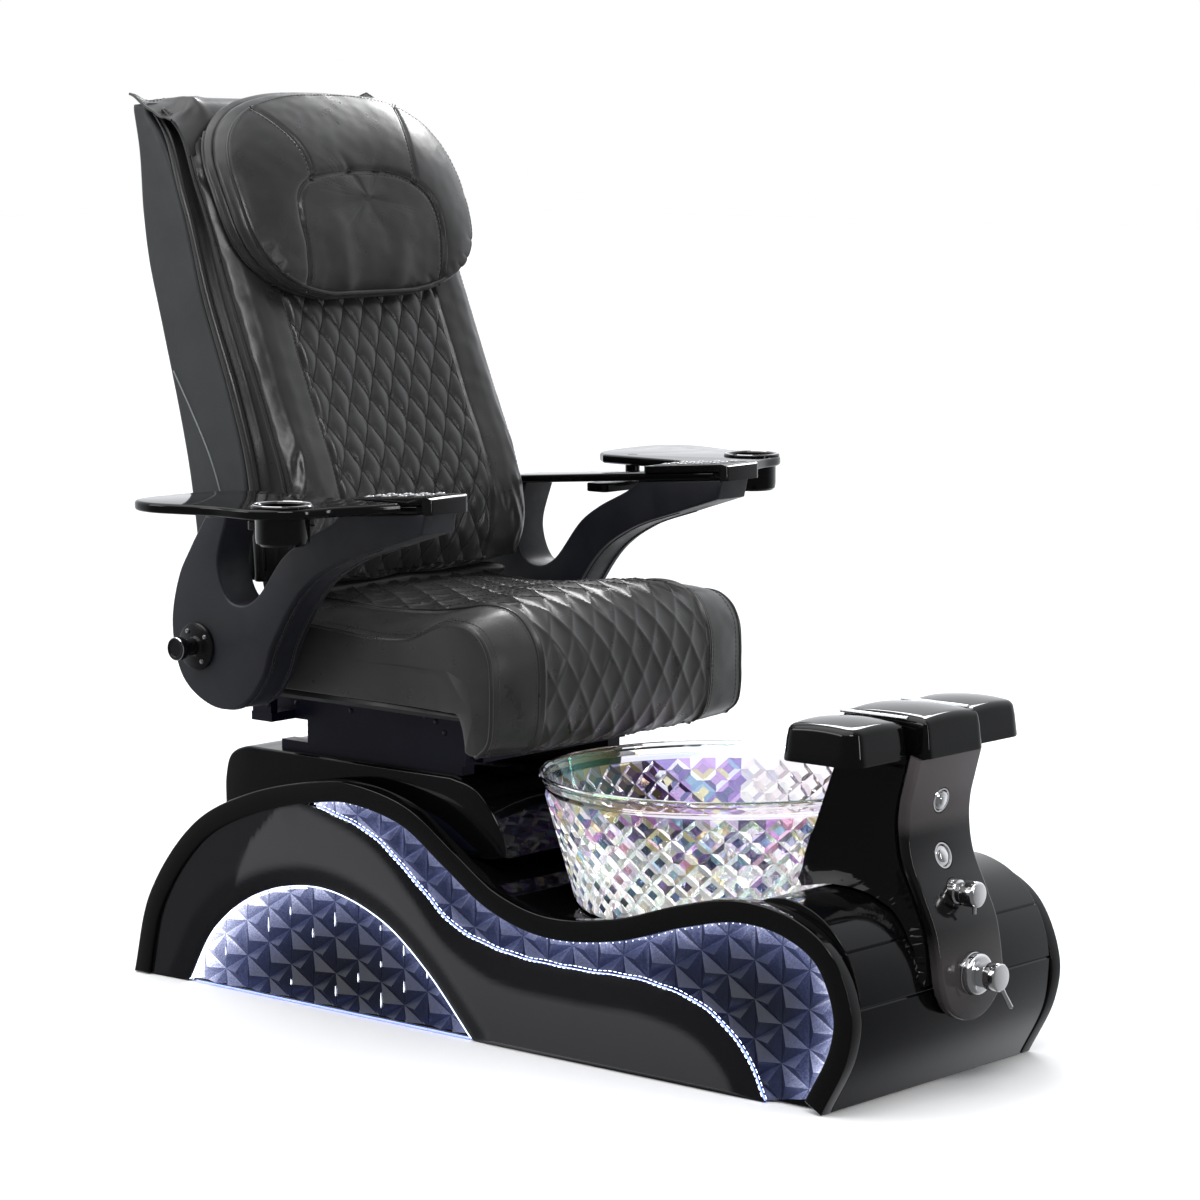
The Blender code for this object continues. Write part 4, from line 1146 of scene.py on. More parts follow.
def column():
    line = strip_line()
    thick = 0.020
    ways = np.gradient(line, axis=0)
    ways /= np.linalg.norm(ways, axis=1)[:, None]
    run = lengths(line)
    left = run[-1] - run
    round_end = 0.074
    half = STRIP_HALF * np.sqrt(np.clip(1 - (1 - np.clip(left / round_end, 0, 1)) ** 2, 0.0004, 1))
    section = []
    corner = 0.006
    for sx, sy in ((1, 1), (-1, 1), (-1, -1), (1, -1)):
        start = {(1, 1): 0, (-1, 1): 90, (-1, -1): 180, (1, -1): 270}[(sx, sy)]
        for angle in np.linspace(math.radians(start), math.radians(start + 90), 7):
            section.append((sx, sy, corner * math.cos(angle), corner * math.sin(angle)))
    rows = []
    for point, way, wide in zip(line, ways, half):
        ring = []
        shrink = min(1.0, wide / (2 * corner))
        for sx, sy, cx, cy in section:
            depth = -thick / 2 + sx * (thick / 2 - corner * shrink) + cx * shrink
            across = sy * max(wide - corner * shrink, 0) + cy * shrink
            ring.append((point[0] + depth * -way[1] * (1 if -way[1] > 0 else -1), across,
                         point[1] + depth * way[0] * (1 if -way[1] > 0 else -1)))
        rows.append(ring)
    strip = loose(Shape().grid(np.array(rows)), "control_strip_cover")
    cutters = []
    for name, (_, _, hole) in CONTROLS.items():
        place, facing = control_place(name)
        plug = Shape().turned([(hole, 0.03), (hole, -0.0125)], place, facing, 64)
        cutters.append(loose(plug, "hole_" + name))
    carve(strip, *cutters)
    dress(strip, SMOKE, "base", "control_strip", 30)
    # Painted reflection: the strip's face is grey near the top and bottom and black between
    paint(strip, "tone", lambda p: np.interp(p[:, 1], *zip(*STRIP_REFLECTION)))

    rear = line - np.array((thick + GAP, 0.0))
    rear = rear[rear[:, 1] > 0.165]
    top = curve([(0.548, 0.484), (0.546, 0.440), (0.540, 0.360), (0.5345, 0.300)], 30)
    foot = curve([(0.548, 0.2925), (0.603, 0.299), (0.663, 0.279), (0.709, 0.228), (0.728, 0.165)], 40)[::-1]
    outline = np.vstack([rear, foot, top[::-1]])

    def reshape(x, y, z):
        share = min(max((x - 0.545) / 0.130, 0.0), 1.0)
        flare = 0.030 * math.exp(-max(z - roller_top(x), 0.0) / 0.016) * (0.4 + 0.6 * (1 - share))
        return x, y * (0.112 - 0.032 * share + flare), z

    body = prism("column_cover", outline, "Y", -1.0, 1.0)
    split(body, 0.010)
    for vertex in body.data.vertices:
        vertex.co = Vector(reshape(*vertex.co))
    soft = body.modifiers.new("edges", "BEVEL")
    soft.width = 0.005
    soft.segments = 3
    soft.angle_limit = math.radians(50)
    height, clear = 0.32, 0.004
    slope = (BOWL_RIM_R - BOWL_FOOT_R) / (BOWL_RIM_Z - DECK_Z)
    scoop = Shape().turned(
        [(BOWL_FOOT_R + clear + height * slope, height), (BOWL_FOOT_R + clear, 0.0)],
        (BOWL_X, 0, DECK_Z), (0, 0, 1), 96,
    )
    carve(body, loose(scoop, "scoop"))
    dress(body, PIANO, "base", "pedestal_column", 30)


def roller_top(x):
    return float(np.interp(x, [0.535, 0.603, 0.663, 0.709, 0.728], [0.285, 0.299, 0.279, 0.228, 0.165]))


def split(obj, height):
    """Cuts an object's mesh into level slices, so that it can be bent."""
    work = bmesh.new()
    work.from_mesh(obj.data)
    zs = [v.co.z for v in work.verts]
    for z in np.arange(min(zs) + height, max(zs), height):
        bmesh.ops.bisect_plane(
            work, geom=list(work.verts) + list(work.edges) + list(work.faces), dist=1e-5,
            plane_co=(0, 0, z), plane_no=(0, 0, 1),
        )
    work.to_mesh(obj.data)
    work.free()


def ring(place, facing, outer, inner, height, base=-0.004):
    """A bezel round a control."""
    profile = [
        (inner, height * 0.6), (inner + 0.0008, height), (outer - 0.0015, height), (outer, height * 0.5),
        (outer, base), (inner, base),
    ]
    shape = Shape().turned(profile, place, facing, 64)
    rows = len(profile)
    # Joins the last ring to the first, so that the bezel is a closed ring
    shape.faces = shape.faces[:-2]
    for c in range(64):
        d = (c + 1) % 64
        shape.faces.append(((rows - 1) * 64 + c, (rows - 1) * 64 + d, d, c))
    return shape


def controls():
    place, facing = control_place("flush_button")
    base_point = place - facing * 0.004
    bezel = ring(base_point, facing, 0.0194, 0.0150, 0.0050, -0.006)
    build(bezel, "flush_bezel", CHROME, "base")
    cap = [(0.0, 0.0040), (0.010, 0.0038), (0.0128, 0.0026), (0.0140, 0.0004), (0.0143, -0.0055),
           (0.0, -0.0055)]
    cap = Shape().turned(cap, base_point + facing * 0.0035, facing, 64)
    cap.turned([(0.006, 0.0050), (0.0068, 0.0046), (0.0068, 0.003), (0.0, 0.003)],
               base_point + facing * 0.0035, facing, 48)
    build(cap, "flush_cap", CHROME, "flush_button", "flush_button")

    place, facing = control_place("light_button")
    base_point = place - facing * 0.006
    bezel = ring(base_point, facing, 0.0204, 0.0158, 0.0065, -0.003)
    build(bezel, "light_bezel", CHROME, "base")
    cap = [(0.0, 0.0085), (0.0085, 0.0083), (0.0098, 0.0074), (0.0100, 0.0050), (0.0140, 0.0046),
           (0.0150, 0.0034), (0.0152, -0.0030), (0.0, -0.0030)]
    cap = Shape().turned(cap, base_point, facing, 64)
    build(cap, "light_cap", CHROME, "light_button", "light_button")

    place, facing = control_place("diverter_knob")
    knob = [
        (0.0, 0.0420), (0.0150, 0.0420), (0.0172, 0.0414), (0.0186, 0.0398), (0.0190, 0.0370),
        (0.0190, 0.0200), (0.0182, 0.0176), (0.0152, 0.0152), (0.0150, 0.0080), (0.0178, 0.0064),
        (0.0180, 0.0040), (0.0180, -0.0100), (0.0, -0.0100),
    ]
    shape = Shape().turned(knob, place, facing, 64)
    pin = place + facing * 0.033
    drop = np.array((0, 0, 1.0))
    shape.tube([pin - drop * z for z in (0.015, 0.019, 0.024, 0.0285, 0.0290)],
               [0.0030, 0.0030, 0.0028, 0.0028, 0.0012], 12)
    build(shape, "diverter_dial", CHROME, "diverter_knob", "diverter_knob")

    place, facing = control_place("mixer_collar")
    collar = [(0.0, 0.0160), (0.0240, 0.0160), (0.0272, 0.0152), (0.0290, 0.0134), (0.0300, 0.0110),
              (0.0300, 0.0020), (0.0306, 0.0012), (0.0306, -0.0020), (0.0300, -0.0100), (0.0, -0.0100)]
    build(Shape().turned(collar, place, facing, 80), "mixer_base", CHROME, "base", "mixer_collar")
    head = [(0.0, 0.0500), (0.0160, 0.0500), (0.0188, 0.0494), (0.0202, 0.0478), (0.0205, 0.0450),
            (0.0205, 0.0310), (0.0198, 0.0285), (0.0182, 0.0262), (0.0180, 0.0163), (0.0, 0.0163)]
    shape = Shape().turned(head, place, facing, 64)
    root = place + facing * 0.040
    lever = np.array((0.18, 0.45, -0.87))
    lever /= np.linalg.norm(lever)
    reach = [0.010, 0.022, 0.030, 0.045, 0.0535, 0.0548]
    shape.tube([root + lever * r for r in reach], [0.0038, 0.0036, 0.0030, 0.0034, 0.0034, 0.0016], 14)
    build(shape, "mixer_head", CHROME, "mixer_handle", "mixer_handle")


def shrink(plan, distance):
    """A closed outline moved inwards."""
    along = np.roll(plan, -1, 0) - np.roll(plan, 1, 0)
    along /= np.linalg.norm(along, axis=1)[:, None]
    return plan + np.stack([-along[:, 1], along[:, 0]], 1) * distance


def pad(plan, low, high, draft, rounding, crown):
    """A moulded pad: drafted walls, a rounded top edge and a crowned top."""
    plan = evenly(np.vstack([plan, plan[:1]]), 121)[:-1]
    middle = plan.mean(0)
    reach = np.abs(plan - middle).max(0)
    levels = [(0.0035, low), (0.0035, low), (0.0008, low + 0.0006), (0.0, low + 0.003)]
    levels += [(draft * t, low + (high - rounding - low) * t) for t in (0.33, 0.66, 1.0)]
    for angle in np.radians((18, 36, 54, 72, 90)):
        inward = draft + rounding * (1 - math.cos(angle))
        levels.append((inward, high - rounding + rounding * math.sin(angle)))
    rows = []
    for inward, z in levels:
        ring = shrink(plan, inward)
        rows.append(np.column_stack([ring, np.full(len(ring), z)]))
    top = rows[-1][:, :2]
    for share in (0.85, 0.65, 0.42, 0.2, 0.03):
        ring = middle + (top - middle) * share
        rows.append(np.column_stack([ring, np.full(len(ring), high)]))
    rows = np.array(rows)
    rows[0, :, :2] = middle + (rows[1, :, :2] - middle) * 0.04
    fall = ((rows[..., :2] - middle) / reach) ** 2
    lift = rows[..., 2] > low + 0.6 * (high - low)
    rows[..., 2] -= crown * np.minimum(fall.sum(2), 1.6) * lift
    return rows


def footrest():
    plan = np.array(rounded((0.560, -0.0695), (0.722, 0.0695), 0.010))
    block = pad(plan, FOOTREST_Z, 0.5500, 0.0055, 0.010, 0.0055)
    build(Shape().grid(block), "footrest_block", PIANO, "base", "footrest_center", 40)
    for side, sign in SIDES:
        plan = []
        for cx, cy, start, radius in (
            (0.696, 0.205, 0, 0.026), (0.560, 0.205, 90, 0.022),
            (0.560, 0.0764, 180, 0.007), (0.696, 0.0764, 270, 0.009),
        ):
            inner = (cx - radius if cx > 0.6 else cx + radius, cy - radius if cy > 0.1 else cy + radius)
            arc(plan, inner, radius, start, start + 90, 10)
        plan = np.array(plan) * np.array((1.0, sign))
        wing = pad(plan if sign > 0 else plan[::-1], FOOTREST_Z, 0.5450, 0.0055, 0.010, 0.0060)
        build(Shape().grid(wing), f"footrest_wing_{side}", PIANO, f"footrest_pad_{side}",
              f"footrest_pad_{side}", 40)


# Upholstery
def quilt(along, across, high, wide, height):
    """Height of a diamond-quilted surface: full in each diamond, sharp at the sewn lines."""
    a, b = along / high + across / wide, along / high - across / wide
    da, db = (np.abs(v - np.round(v)) * 2 for v in (a, b))
    full = (1 - (1 - da) ** 2) * (1 - (1 - db) ** 2)
    return height * full**0.42


def seam_lines(low, top, half, high, wide, shift, spacing=0.004):
    """The sewn diagonals of a quilted field, as lists of (along, across) points."""
    found = []
    for sign in (1, -1):
        first = int(math.floor((low + shift) / high - half / wide)) - 1
        last = int(math.ceil((top + shift) / high + half / wide)) + 1
        for k in range(first, last + 1):
            across = np.linspace(-half, half, 120)
            along = (k - sign * across / wide) * high - shift
            keep = (along > low) & (along < top)
            if keep.sum() > 6:
                found.append(evenly(np.stack([along[keep], across[keep]], 1), spacing=spacing))
    return found


def on_grid(grid, run, columns, line):
    """Points of a quilted grid at (along, across) places; columns are those that face the sitter."""
    order = columns[np.argsort(grid[grid.shape[0] // 2, columns, 1])]
    found = []
    for along, across in line:
        row = float(np.interp(along, run[:, 0], run[:, 1]))
        first = min(int(row), grid.shape[0] - 2)
        mix = grid[first] + (grid[first + 1] - grid[first]) * (row - first)
        found.append([np.interp(across, mix[order, 1], mix[order, k]) for k in range(3)])
    return np.array(found)


def inflate(grid, closed_columns, hold, cap, pressure=4.0):
    """Puffs a closed grid with a short cloth simulation; hold is 1 where a point stays put."""
    shape = Shape().grid(grid, closed_columns)
    obj = loose(shape, "inflating")
    if len(obj.data.vertices) != len(shape.points):
        bpy.data.objects.remove(obj, do_unlink=True)
        return grid
    group = obj.vertex_groups.new(name="hold")
    for index, value in enumerate(hold.ravel()):
        group.add([index], float(value), "REPLACE")
    cloth = obj.modifiers.new("cloth", "CLOTH")
    settings = cloth.settings
    settings.quality = 5
    settings.mass = 0.4
    settings.tension_stiffness = 25
    settings.compression_stiffness = 25
    settings.bending_stiffness = 4
    settings.use_pressure = True
    settings.uniform_pressure_force = pressure
    settings.effector_weights.gravity = 0
    settings.vertex_group_mass = "hold"
    scene = bpy.context.scene
    cloth.point_cache.frame_start, cloth.point_cache.frame_end = 1, 20
    for step in range(1, 21):
        scene.frame_set(step)
    graph = bpy.context.evaluated_depsgraph_get()
    mesh = obj.evaluated_get(graph).to_mesh()
    points = np.empty(len(mesh.vertices) * 3)
    mesh.vertices.foreach_get("co", points)
    scene.frame_set(1)
    bpy.data.objects.remove(obj, do_unlink=True)
    move = points.reshape(grid.shape) - grid
    size = np.linalg.norm(move, axis=2, keepdims=True)
    return grid + move * np.minimum(1, cap / np.maximum(size, 1e-9))


def refine(values, rows, columns, closed=True):
    """A grid of values on finer rows and columns, through a cubic."""
    across = weights(values.shape[1], columns, closed)
    along = weights(values.shape[0], rows, False)
    if values.ndim == 2:
        return along @ values @ across.T
    return np.stack([along @ values[..., k] @ across.T for k in range(3)], -1)


def nearest_row(values, target):
    return int(np.argmin(np.abs(values - target)))


SEAT_TOP = [
    (-0.404, 0.590), (-0.399, 0.636), (-0.382, 0.648), (-0.350, 0.6465), (-0.250, 0.648), (-0.100, 0.655),
    (0.000, 0.668), (0.065, 0.657), (0.102, 0.607), (0.108, 0.530), (0.096, 0.460), (0.068, 0.440),
]
SEAT_EDGE = [
    (-0.400, 0.575), (-0.392, 0.615), (-0.372, 0.624), (-0.345, 0.617), (-0.250, 0.609), (-0.100, 0.606),
    (-0.012, 0.636), (0.053, 0.633), (0.084, 0.600), (0.091, 0.530), (0.084, 0.465), (0.060, 0.444),
]
SEAT_UNDER = [
    (0.038, 0.448), (0.030, 0.486), (0.020, 0.5052), (-0.120, 0.5052), (-0.300, 0.5052), (-0.390, 0.5060),
]
SEAT_QUILT = 0.193
ROLL_X = -0.384
STITCH_GAP = 0.0065


def seat_cushion():
    """Seat: quilted middle that runs down over the front, plain bolsters, piped side panels."""
    columns_top, columns_under, across = ((84, 44, 57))
    centre = np.vstack([curve(SEAT_TOP, columns_top), evenly(SEAT_UNDER, columns_under)])
    edge = np.vstack([curve(SEAT_EDGE, columns_top), evenly(SEAT_UNDER, columns_under)])
    along = np.concatenate([lengths(curve(SEAT_TOP, columns_top)), np.full(columns_under, -1.0)])
    side = 0.277
    ys = side * np.sin(np.linspace(-math.pi / 2, math.pi / 2, across)) * 0.35
    ys += 0.65 * np.linspace(-side, side, across)
    spine = np.array([(-0.345, 0.560), (0.005, 0.565), (0.045, 0.548), (0.054, 0.500)])
    line = evenly(spine, 60)
    inner = np.array([line[np.argmin(np.linalg.norm(line - p, axis=1))] for p in edge])
    rows = []
    shrink = (0.985, 0.90, 0.72, 0.5, 0.25, 0.05)
    for sign in (-1, 1):
        caps = []
        for share in shrink:
            puff = 0.0025 + 0.004 * (1 - share) ** 0.5
            caps.append((inner + (edge - inner) * share, sign * (side + puff)))
        caps = caps[::-1] if sign < 0 else caps
        if sign < 0:
            rows += caps
            for y in ys:
                crown = 1 - abs(y / side) ** 3.2
                rows.append((edge + (centre - edge) * crown, y))
        else:
            rows += caps
    grid = np.array([np.stack([p[:, 0], np.full(len(p), y), p[:, 1]], 1) for p, y in rows])
    grid[..., 1] *= 1 + 0.040 * step_up(grid[..., 0], -0.12, 0.06)
    count = len(shrink)
    marks = np.concatenate([np.linspace(-2, -1.05, count), ys / side, np.linspace(1.05, 2, count)])
    resting = (along < 0)[None, :] & np.ones((len(grid), 1), bool)
    rim = np.zeros(grid.shape[:2])
    rim[resting] = 1.0
    rim[:, (along >= 0) & (along < 0.13)] = 0.97
    rim[np.abs(marks) > 0.955] = 1.0
    rim[:, -3:] = 1.0
    grid = inflate(grid, True, rim, 0.006)
    fine_rows, fine_columns = ((232, 420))
    marks = refine(np.repeat(marks[:, None], 4, 1), fine_rows, 4)[:, 0]
    run = refine(np.repeat(along[None], 4, 0), 4, fine_columns)[0]
    grid = refine(grid, fine_rows, fine_columns)
    normal = -grid_normals(grid)
    y = grid[..., 1]
    on_top = (step_up(run, 0.03, 0.06) * step_up(run.max() - run, 0.004, 0.024) * (run > 0.02))[None, :]
    inside = step_up(SEAT_QUILT - np.abs(y), 0.0, 0.012) * (np.abs(marks) < 1)[:, None]
    lift = quilt(run[None, :] + 0.030, y, 0.080, 0.0480, 0.0070) * inside * on_top
    lift *= 1 - 0.5 * step_up(run, 0.48, 0.62)[None, :]
    groove = np.exp(-(((np.abs(y) - SEAT_QUILT) / 0.0035) ** 2))
    lift -= 0.0045 * groove * (np.abs(marks) < 1)[:, None] * on_top
    lift -= 0.003 * inside * on_top
    plain = 1 - inside
    lift += 0.0016 * ripple(grid, 9.0) * plain * (run > 0)[None, :]
    lift += 0.0008 * ripple(grid, 34.0, 4.0) * (run > 0)[None, :]
    lift *= 1 - 0.8 * step_up(np.abs(marks), 1.0, 1.3)[:, None]
    grid = grid + normal * lift[..., None]
    cushion = build(Shape().grid(grid), "seat_upholstery", LEATHER, "seat", "seat_cushion", 60)
    cords = Shape()
    top = np.flatnonzero((run > 0.03) & (run < run.max() - 0.012))
    table = np.stack([run[top], np.arange(len(top))], 1)
    turned_grid = grid[:, top].transpose(1, 0, 2)
    across_rows = np.flatnonzero(np.abs(marks) < 1)
    for line in seam_lines(0.045, float(run[top[-1]]), SEAT_QUILT - 0.003, 0.080, 0.0480, 0.030):
        cords.tube(on_grid(turned_grid, table, across_rows, line), 0.0009, 5)
    build(cords, "seat_quilting", SEAM, "seat")
    trim_seat(grid, marks, run, y, -grid_normals(grid))


def rear_roll():
    """A soft roll that closes the gap under the backrest."""
    turn = np.linspace(0, 2 * math.pi, 28, endpoint=False)
    rows = []
    for y in np.linspace(-0.255, 0.255, 90):
        end = math.sqrt(max(1 - (abs(y) / 0.2565) ** 6, 0.02))
        swell = 0.97 + 0.03 * math.sin(y * 43.0)
        x = ROLL_X + 0.016 * end * np.cos(turn)
        z = 0.644 + 0.0175 * end * swell * np.sin(turn)
        rows.append(np.stack([x, np.full(28, y), z], 1))
    roll = build(Shape().grid(np.array(rows)), "seat_rear_roll", LEATHER, "seat", sharp=60)
    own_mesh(roll)


def trim_seat(grid, marks, run, y, normal):
    top = np.flatnonzero(run > 0.004)
    piping, thread = Shape(), Shape()
    for sign in (-1, 1):
        row = nearest_row(marks, sign * 1.0)
        path = grid[row, top] + normal[row, top] * 0.0014
        path = evenly(path, spacing=0.006) + np.array((0, sign * 0.0018, 0))
        piping.tube(path, 0.0034, 8)
        row = nearest_row(y[:, top[len(top) // 2]], sign * 0.2675)
        stitches(thread, evenly(grid[row, top], spacing=0.004) + np.array((0, 0, 0.0003)), radius=0.0008)
        row = nearest_row(y[:, top[len(top) // 2]], sign * SEAT_QUILT)
        seam = evenly(grid[row, top], spacing=0.004)
        piping.tube(seam, 0.0017, 6)
        row = nearest_row(y[:, top[len(top) // 2]], sign * (SEAT_QUILT + STITCH_GAP))
        stitches(thread, evenly(grid[row, top], spacing=0.004), radius=0.0007)
    build(piping, "seat_piping", PIPING, "seat")
    build(thread, "seat_stitches", THREAD, "seat")
    skirt()
    rear_roll()


# Section of the seat cover's lower edge: (distance to the side, height)
SKIRT = [(0.2640, 0.5060), (0.2760, 0.5050), (0.2790, 0.4980), (0.2760, 0.4920), (0.2640, 0.4895)]


def skirt():
    """The lower side panels of the seat cover, tucked round the board."""
    xs = np.linspace(-0.380, 0.016, 60)
    for side, sign in SIDES:
        rows = []
        for t, (out, z) in enumerate(SKIRT):
            wave = 0.0015 * np.sin(xs * 21.0 + t) * (0 < t < 4)
            rows.append(np.stack([xs, sign * out + sign * wave, np.full(60, z)], 1))
        rows += [np.stack([xs, np.full(60, sign * 0.2625), np.full(60, z)], 1) for z in (0.4895, 0.506)]
        grid = np.array(rows).transpose(1, 0, 2)
        build(Shape().grid(grid), f"seat_skirt_{side}", SIDE_LEATHER, "seat")


REAR_LINE = [
    (-0.562, 0.665), (-0.583, 0.813), (-0.604, 0.907), (-0.647, 1.063), (-0.673, 1.157),
    (-0.685, 1.235), (-0.692, 1.330), (-0.704, 1.392),
]
MIDDLE_LINE = [
    (-0.442, 0.665), (-0.455, 0.830), (-0.487, 0.945), (-0.548, 1.098), (-0.590, 1.240),
    (-0.636, 1.345), (-0.668, 1.388),
]
FRONT_LINE = [
    (-0.352, 0.668), (-0.331, 0.710), (-0.330, 0.758), (-0.352, 0.839), (-0.395, 0.935),
    (-0.462, 1.097), (-0.540, 1.270), (-0.588, 1.360), (-0.640, 1.396),
]
BACK_QUILT = 0.170

# Half of the cushion's cross-section: (distance to the side, share of the depth)
BACK_SECTION = [
    (0.000, 0.985), (0.060, 0.985), (0.120, 0.990), (0.160, 0.995), (0.172, 0.985), (0.184, 1.005),
    (0.215, 1.030), (0.240, 1.010), (0.256, 0.960), (0.265, 0.890), (0.2665, 0.820), (0.262, 0.780),
    (0.248, 0.740), (0.240, 0.660), (0.239, 0.500), (0.242, 0.330), (0.252, 0.240), (0.263, 0.190),
    (0.2665, 0.120), (0.263, 0.040), (0.250, 0.002), (0.150, 0.000), (0.000, 0.000),
]


def backrest():
    """Back cushion: quilted middle, plain bolsters, a deep channel between two piped edges."""
    half = np.array(BACK_SECTION)
    half = evenly(half * np.array((1.0, 0.10)), 900) / np.array((1.0, 0.10))
    density = np.where(half[1:, 1] < 0.02, 0.12, np.where(half[1:, 1] > 0.9, 1.0, 0.7))
    place = np.concatenate([[0.0], np.cumsum(density)])
    spots = np.linspace(0, place[-1], 66)
    half = np.stack([np.interp(spots, place, half[:, k]) for k in range(2)], 1)
    section = np.vstack([half, (half * np.array((-1.0, 1.0)))[-2:0:-1]])
    stations = 70
    middle, front = curve(MIDDLE_LINE, stations), curve(FRONT_LINE, stations)
    run = lengths(front)
    rows = []
    for share, m, f in zip(np.linspace(0, 1, stations), middle, front):
        point = m + np.outer(section[:, 1], f - m)
        narrow = 1 - 0.05 * step_up(share, 0.80, 1.0) - 0.015 * step_up(-share, -0.12, 0.0)
        rows.append(np.stack([point[:, 0], section[:, 0] * narrow, point[:, 1]], 1))
    grid = np.array(rows)
    ends = []
    for row, way in ((grid[0], (0.0, 0.0, -1.0)), (grid[-1], (-0.4, 0.0, 0.9))):
        centre = row.mean(0)
        shares = (0.05, 0.45, 0.8, 0.95)
        ends.append([centre + (row - centre) * s + np.array(way) * 0.004 * (1 - s) for s in shares])
    grid = np.concatenate([ends[0], grid, ends[1][::-1]])
    run = np.concatenate([np.full(4, run[0]), run, np.full(4, run[-1])])
    hold = np.zeros(grid.shape[:2])
    hold[:, section[:, 1] < 0.05] = 1.0
    hold[:, (np.abs(section[:, 0]) > 0.236) & (section[:, 1] < 0.80)] = 0.9
    grid = inflate(grid, True, hold, 0.005)
    fine_rows, fine_columns = ((280, 330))
    run = refine(np.repeat(run[:, None], 4, 1), fine_rows, 4)[:, 0]
    depth = refine(np.repeat(section[None, :, 1], 4, 0), 4, fine_columns)[0]
    grid = refine(grid, fine_rows, fine_columns)
    normal = grid_normals(grid)
    centre = grid.mean(1, keepdims=True)
    if ((grid - centre) * normal).sum() < 0:
        normal = -normal
    y = grid[..., 1]
    facing = (depth > 0.90)[None, :] * 1.0
    inside = step_up(BACK_QUILT - np.abs(y), 0.0, 0.010) * facing
    lift = quilt(run[:, None] + 0.02, y, 0.077, 0.0450, 0.0068) * inside - 0.003 * inside
    lift -= 0.005 * np.exp(-(((np.abs(y) - BACK_QUILT) / 0.0035) ** 2)) * facing
    lift += 0.0013 * ripple(grid, 8.0, 2.0) * (1 - inside)
    lift += 0.0009 * ripple(grid, 40.0, 7.0) * facing
    grid = grid + normal * lift[..., None]
    cushion = build(Shape().grid(grid), "back_upholstery", LEATHER, "back", "back_cushion", 60)
    cords = Shape()
    inner = np.arange(int(fine_rows * 0.07), int(fine_rows * 0.90))
    table = np.stack([run[inner], inner], 1)
    columns = np.flatnonzero(depth > 0.93)
    for line in seam_lines(run[inner[0]], 0.56, BACK_QUILT - 0.003, 0.077, 0.0450, 0.02):
        cords.tube(on_grid(grid, table, columns, line), 0.0009, 5)
    build(cords, "back_quilting", SEAM, "back")
    piping, thread = Shape(), Shape()
    body = slice(int(fine_rows * 0.06), int(fine_rows * 0.955))
    for sign in (-1, 1):
        for target, r in ((0.785, 0.0036), (0.215, 0.0036)):
            column = side_column(depth, y, sign, target)
            path = evenly(grid[body, column], spacing=0.006)
            piping.tube(path + np.array((0, sign * 0.001, 0)), r, 8)
        for target in (0.87, 0.14):
            column = side_column(depth, y, sign, target)
            stitches(thread, evenly(grid[body, column], spacing=0.004), radius=0.0008)
        column = int(np.argmin(np.where(depth > 0.9, np.abs(y[fine_rows // 2] - sign * BACK_QUILT), 9)))
        piping.tube(evenly(grid[body, column], spacing=0.005), 0.0017, 6)
        gaps = np.abs(y[fine_rows // 2] - sign * (BACK_QUILT + 0.007))
        column = int(np.argmin(np.where(depth > 0.9, gaps, 9)))
        stitches(thread, evenly(grid[body, column], spacing=0.004), radius=0.0007)
    build(piping, "back_piping", PIPING, "back")
    build(thread, "back_stitches", THREAD, "back")


def side_column(depth, y, sign, target):
    """The column on one flank whose share of the depth is nearest the target."""
    flank = (y[y.shape[0] // 2] * sign > 0.2)
    return int(np.argmin(np.where(flank, np.abs(depth - target), 9)))


def back_shell():
    rear, middle = curve(REAR_LINE, 90), curve(MIDDLE_LINE, 90)
    rear = np.vstack([rear, [(-0.7038, 1.402)]])
    middle = np.vstack([middle, [(-0.672, 1.404)]])
    outline = np.vstack([rear, middle[::-1] - np.array((GAP, 0))])
    shell = prism("rear_shell", outline, "Y", -0.262, 0.262, 0.016, 5)
    dress(shell, SHELL_GREY, "back", "back_shell")
    # Painted highlight: a pale grey line on each flank stands in for light caught in the gap along the
    # shell's side
    trim = Shape()
    for _, sign in SIDES:
        line = curve(
            [(-0.615, 0.985), (-0.570, 0.915), (-0.535, 0.855), (-0.509, 0.790), (-0.490, 0.700)], 60)
        trim.tube(np.stack([line[:, 0], np.full(60, sign * 0.2620), line[:, 1]], 1), 0.0016, 6)
    build(trim, "shell_gap_highlight", GAP_HIGHLIGHT_GREY, "back")
    vents = Shape()
    for k in range(9):
        z = 1.000 + 0.016 * k
        x = np.interp(z, [p[1] for p in REAR_LINE], [p[0] for p in REAR_LINE])
        ys = np.linspace(-0.075, 0.075, 16)
        vents.tube(np.stack([np.full(16, x - 0.0002), ys, np.full(16, z)], 1), 0.0026, 6)
    build(vents, "shell_vents", RUBBER, "back")


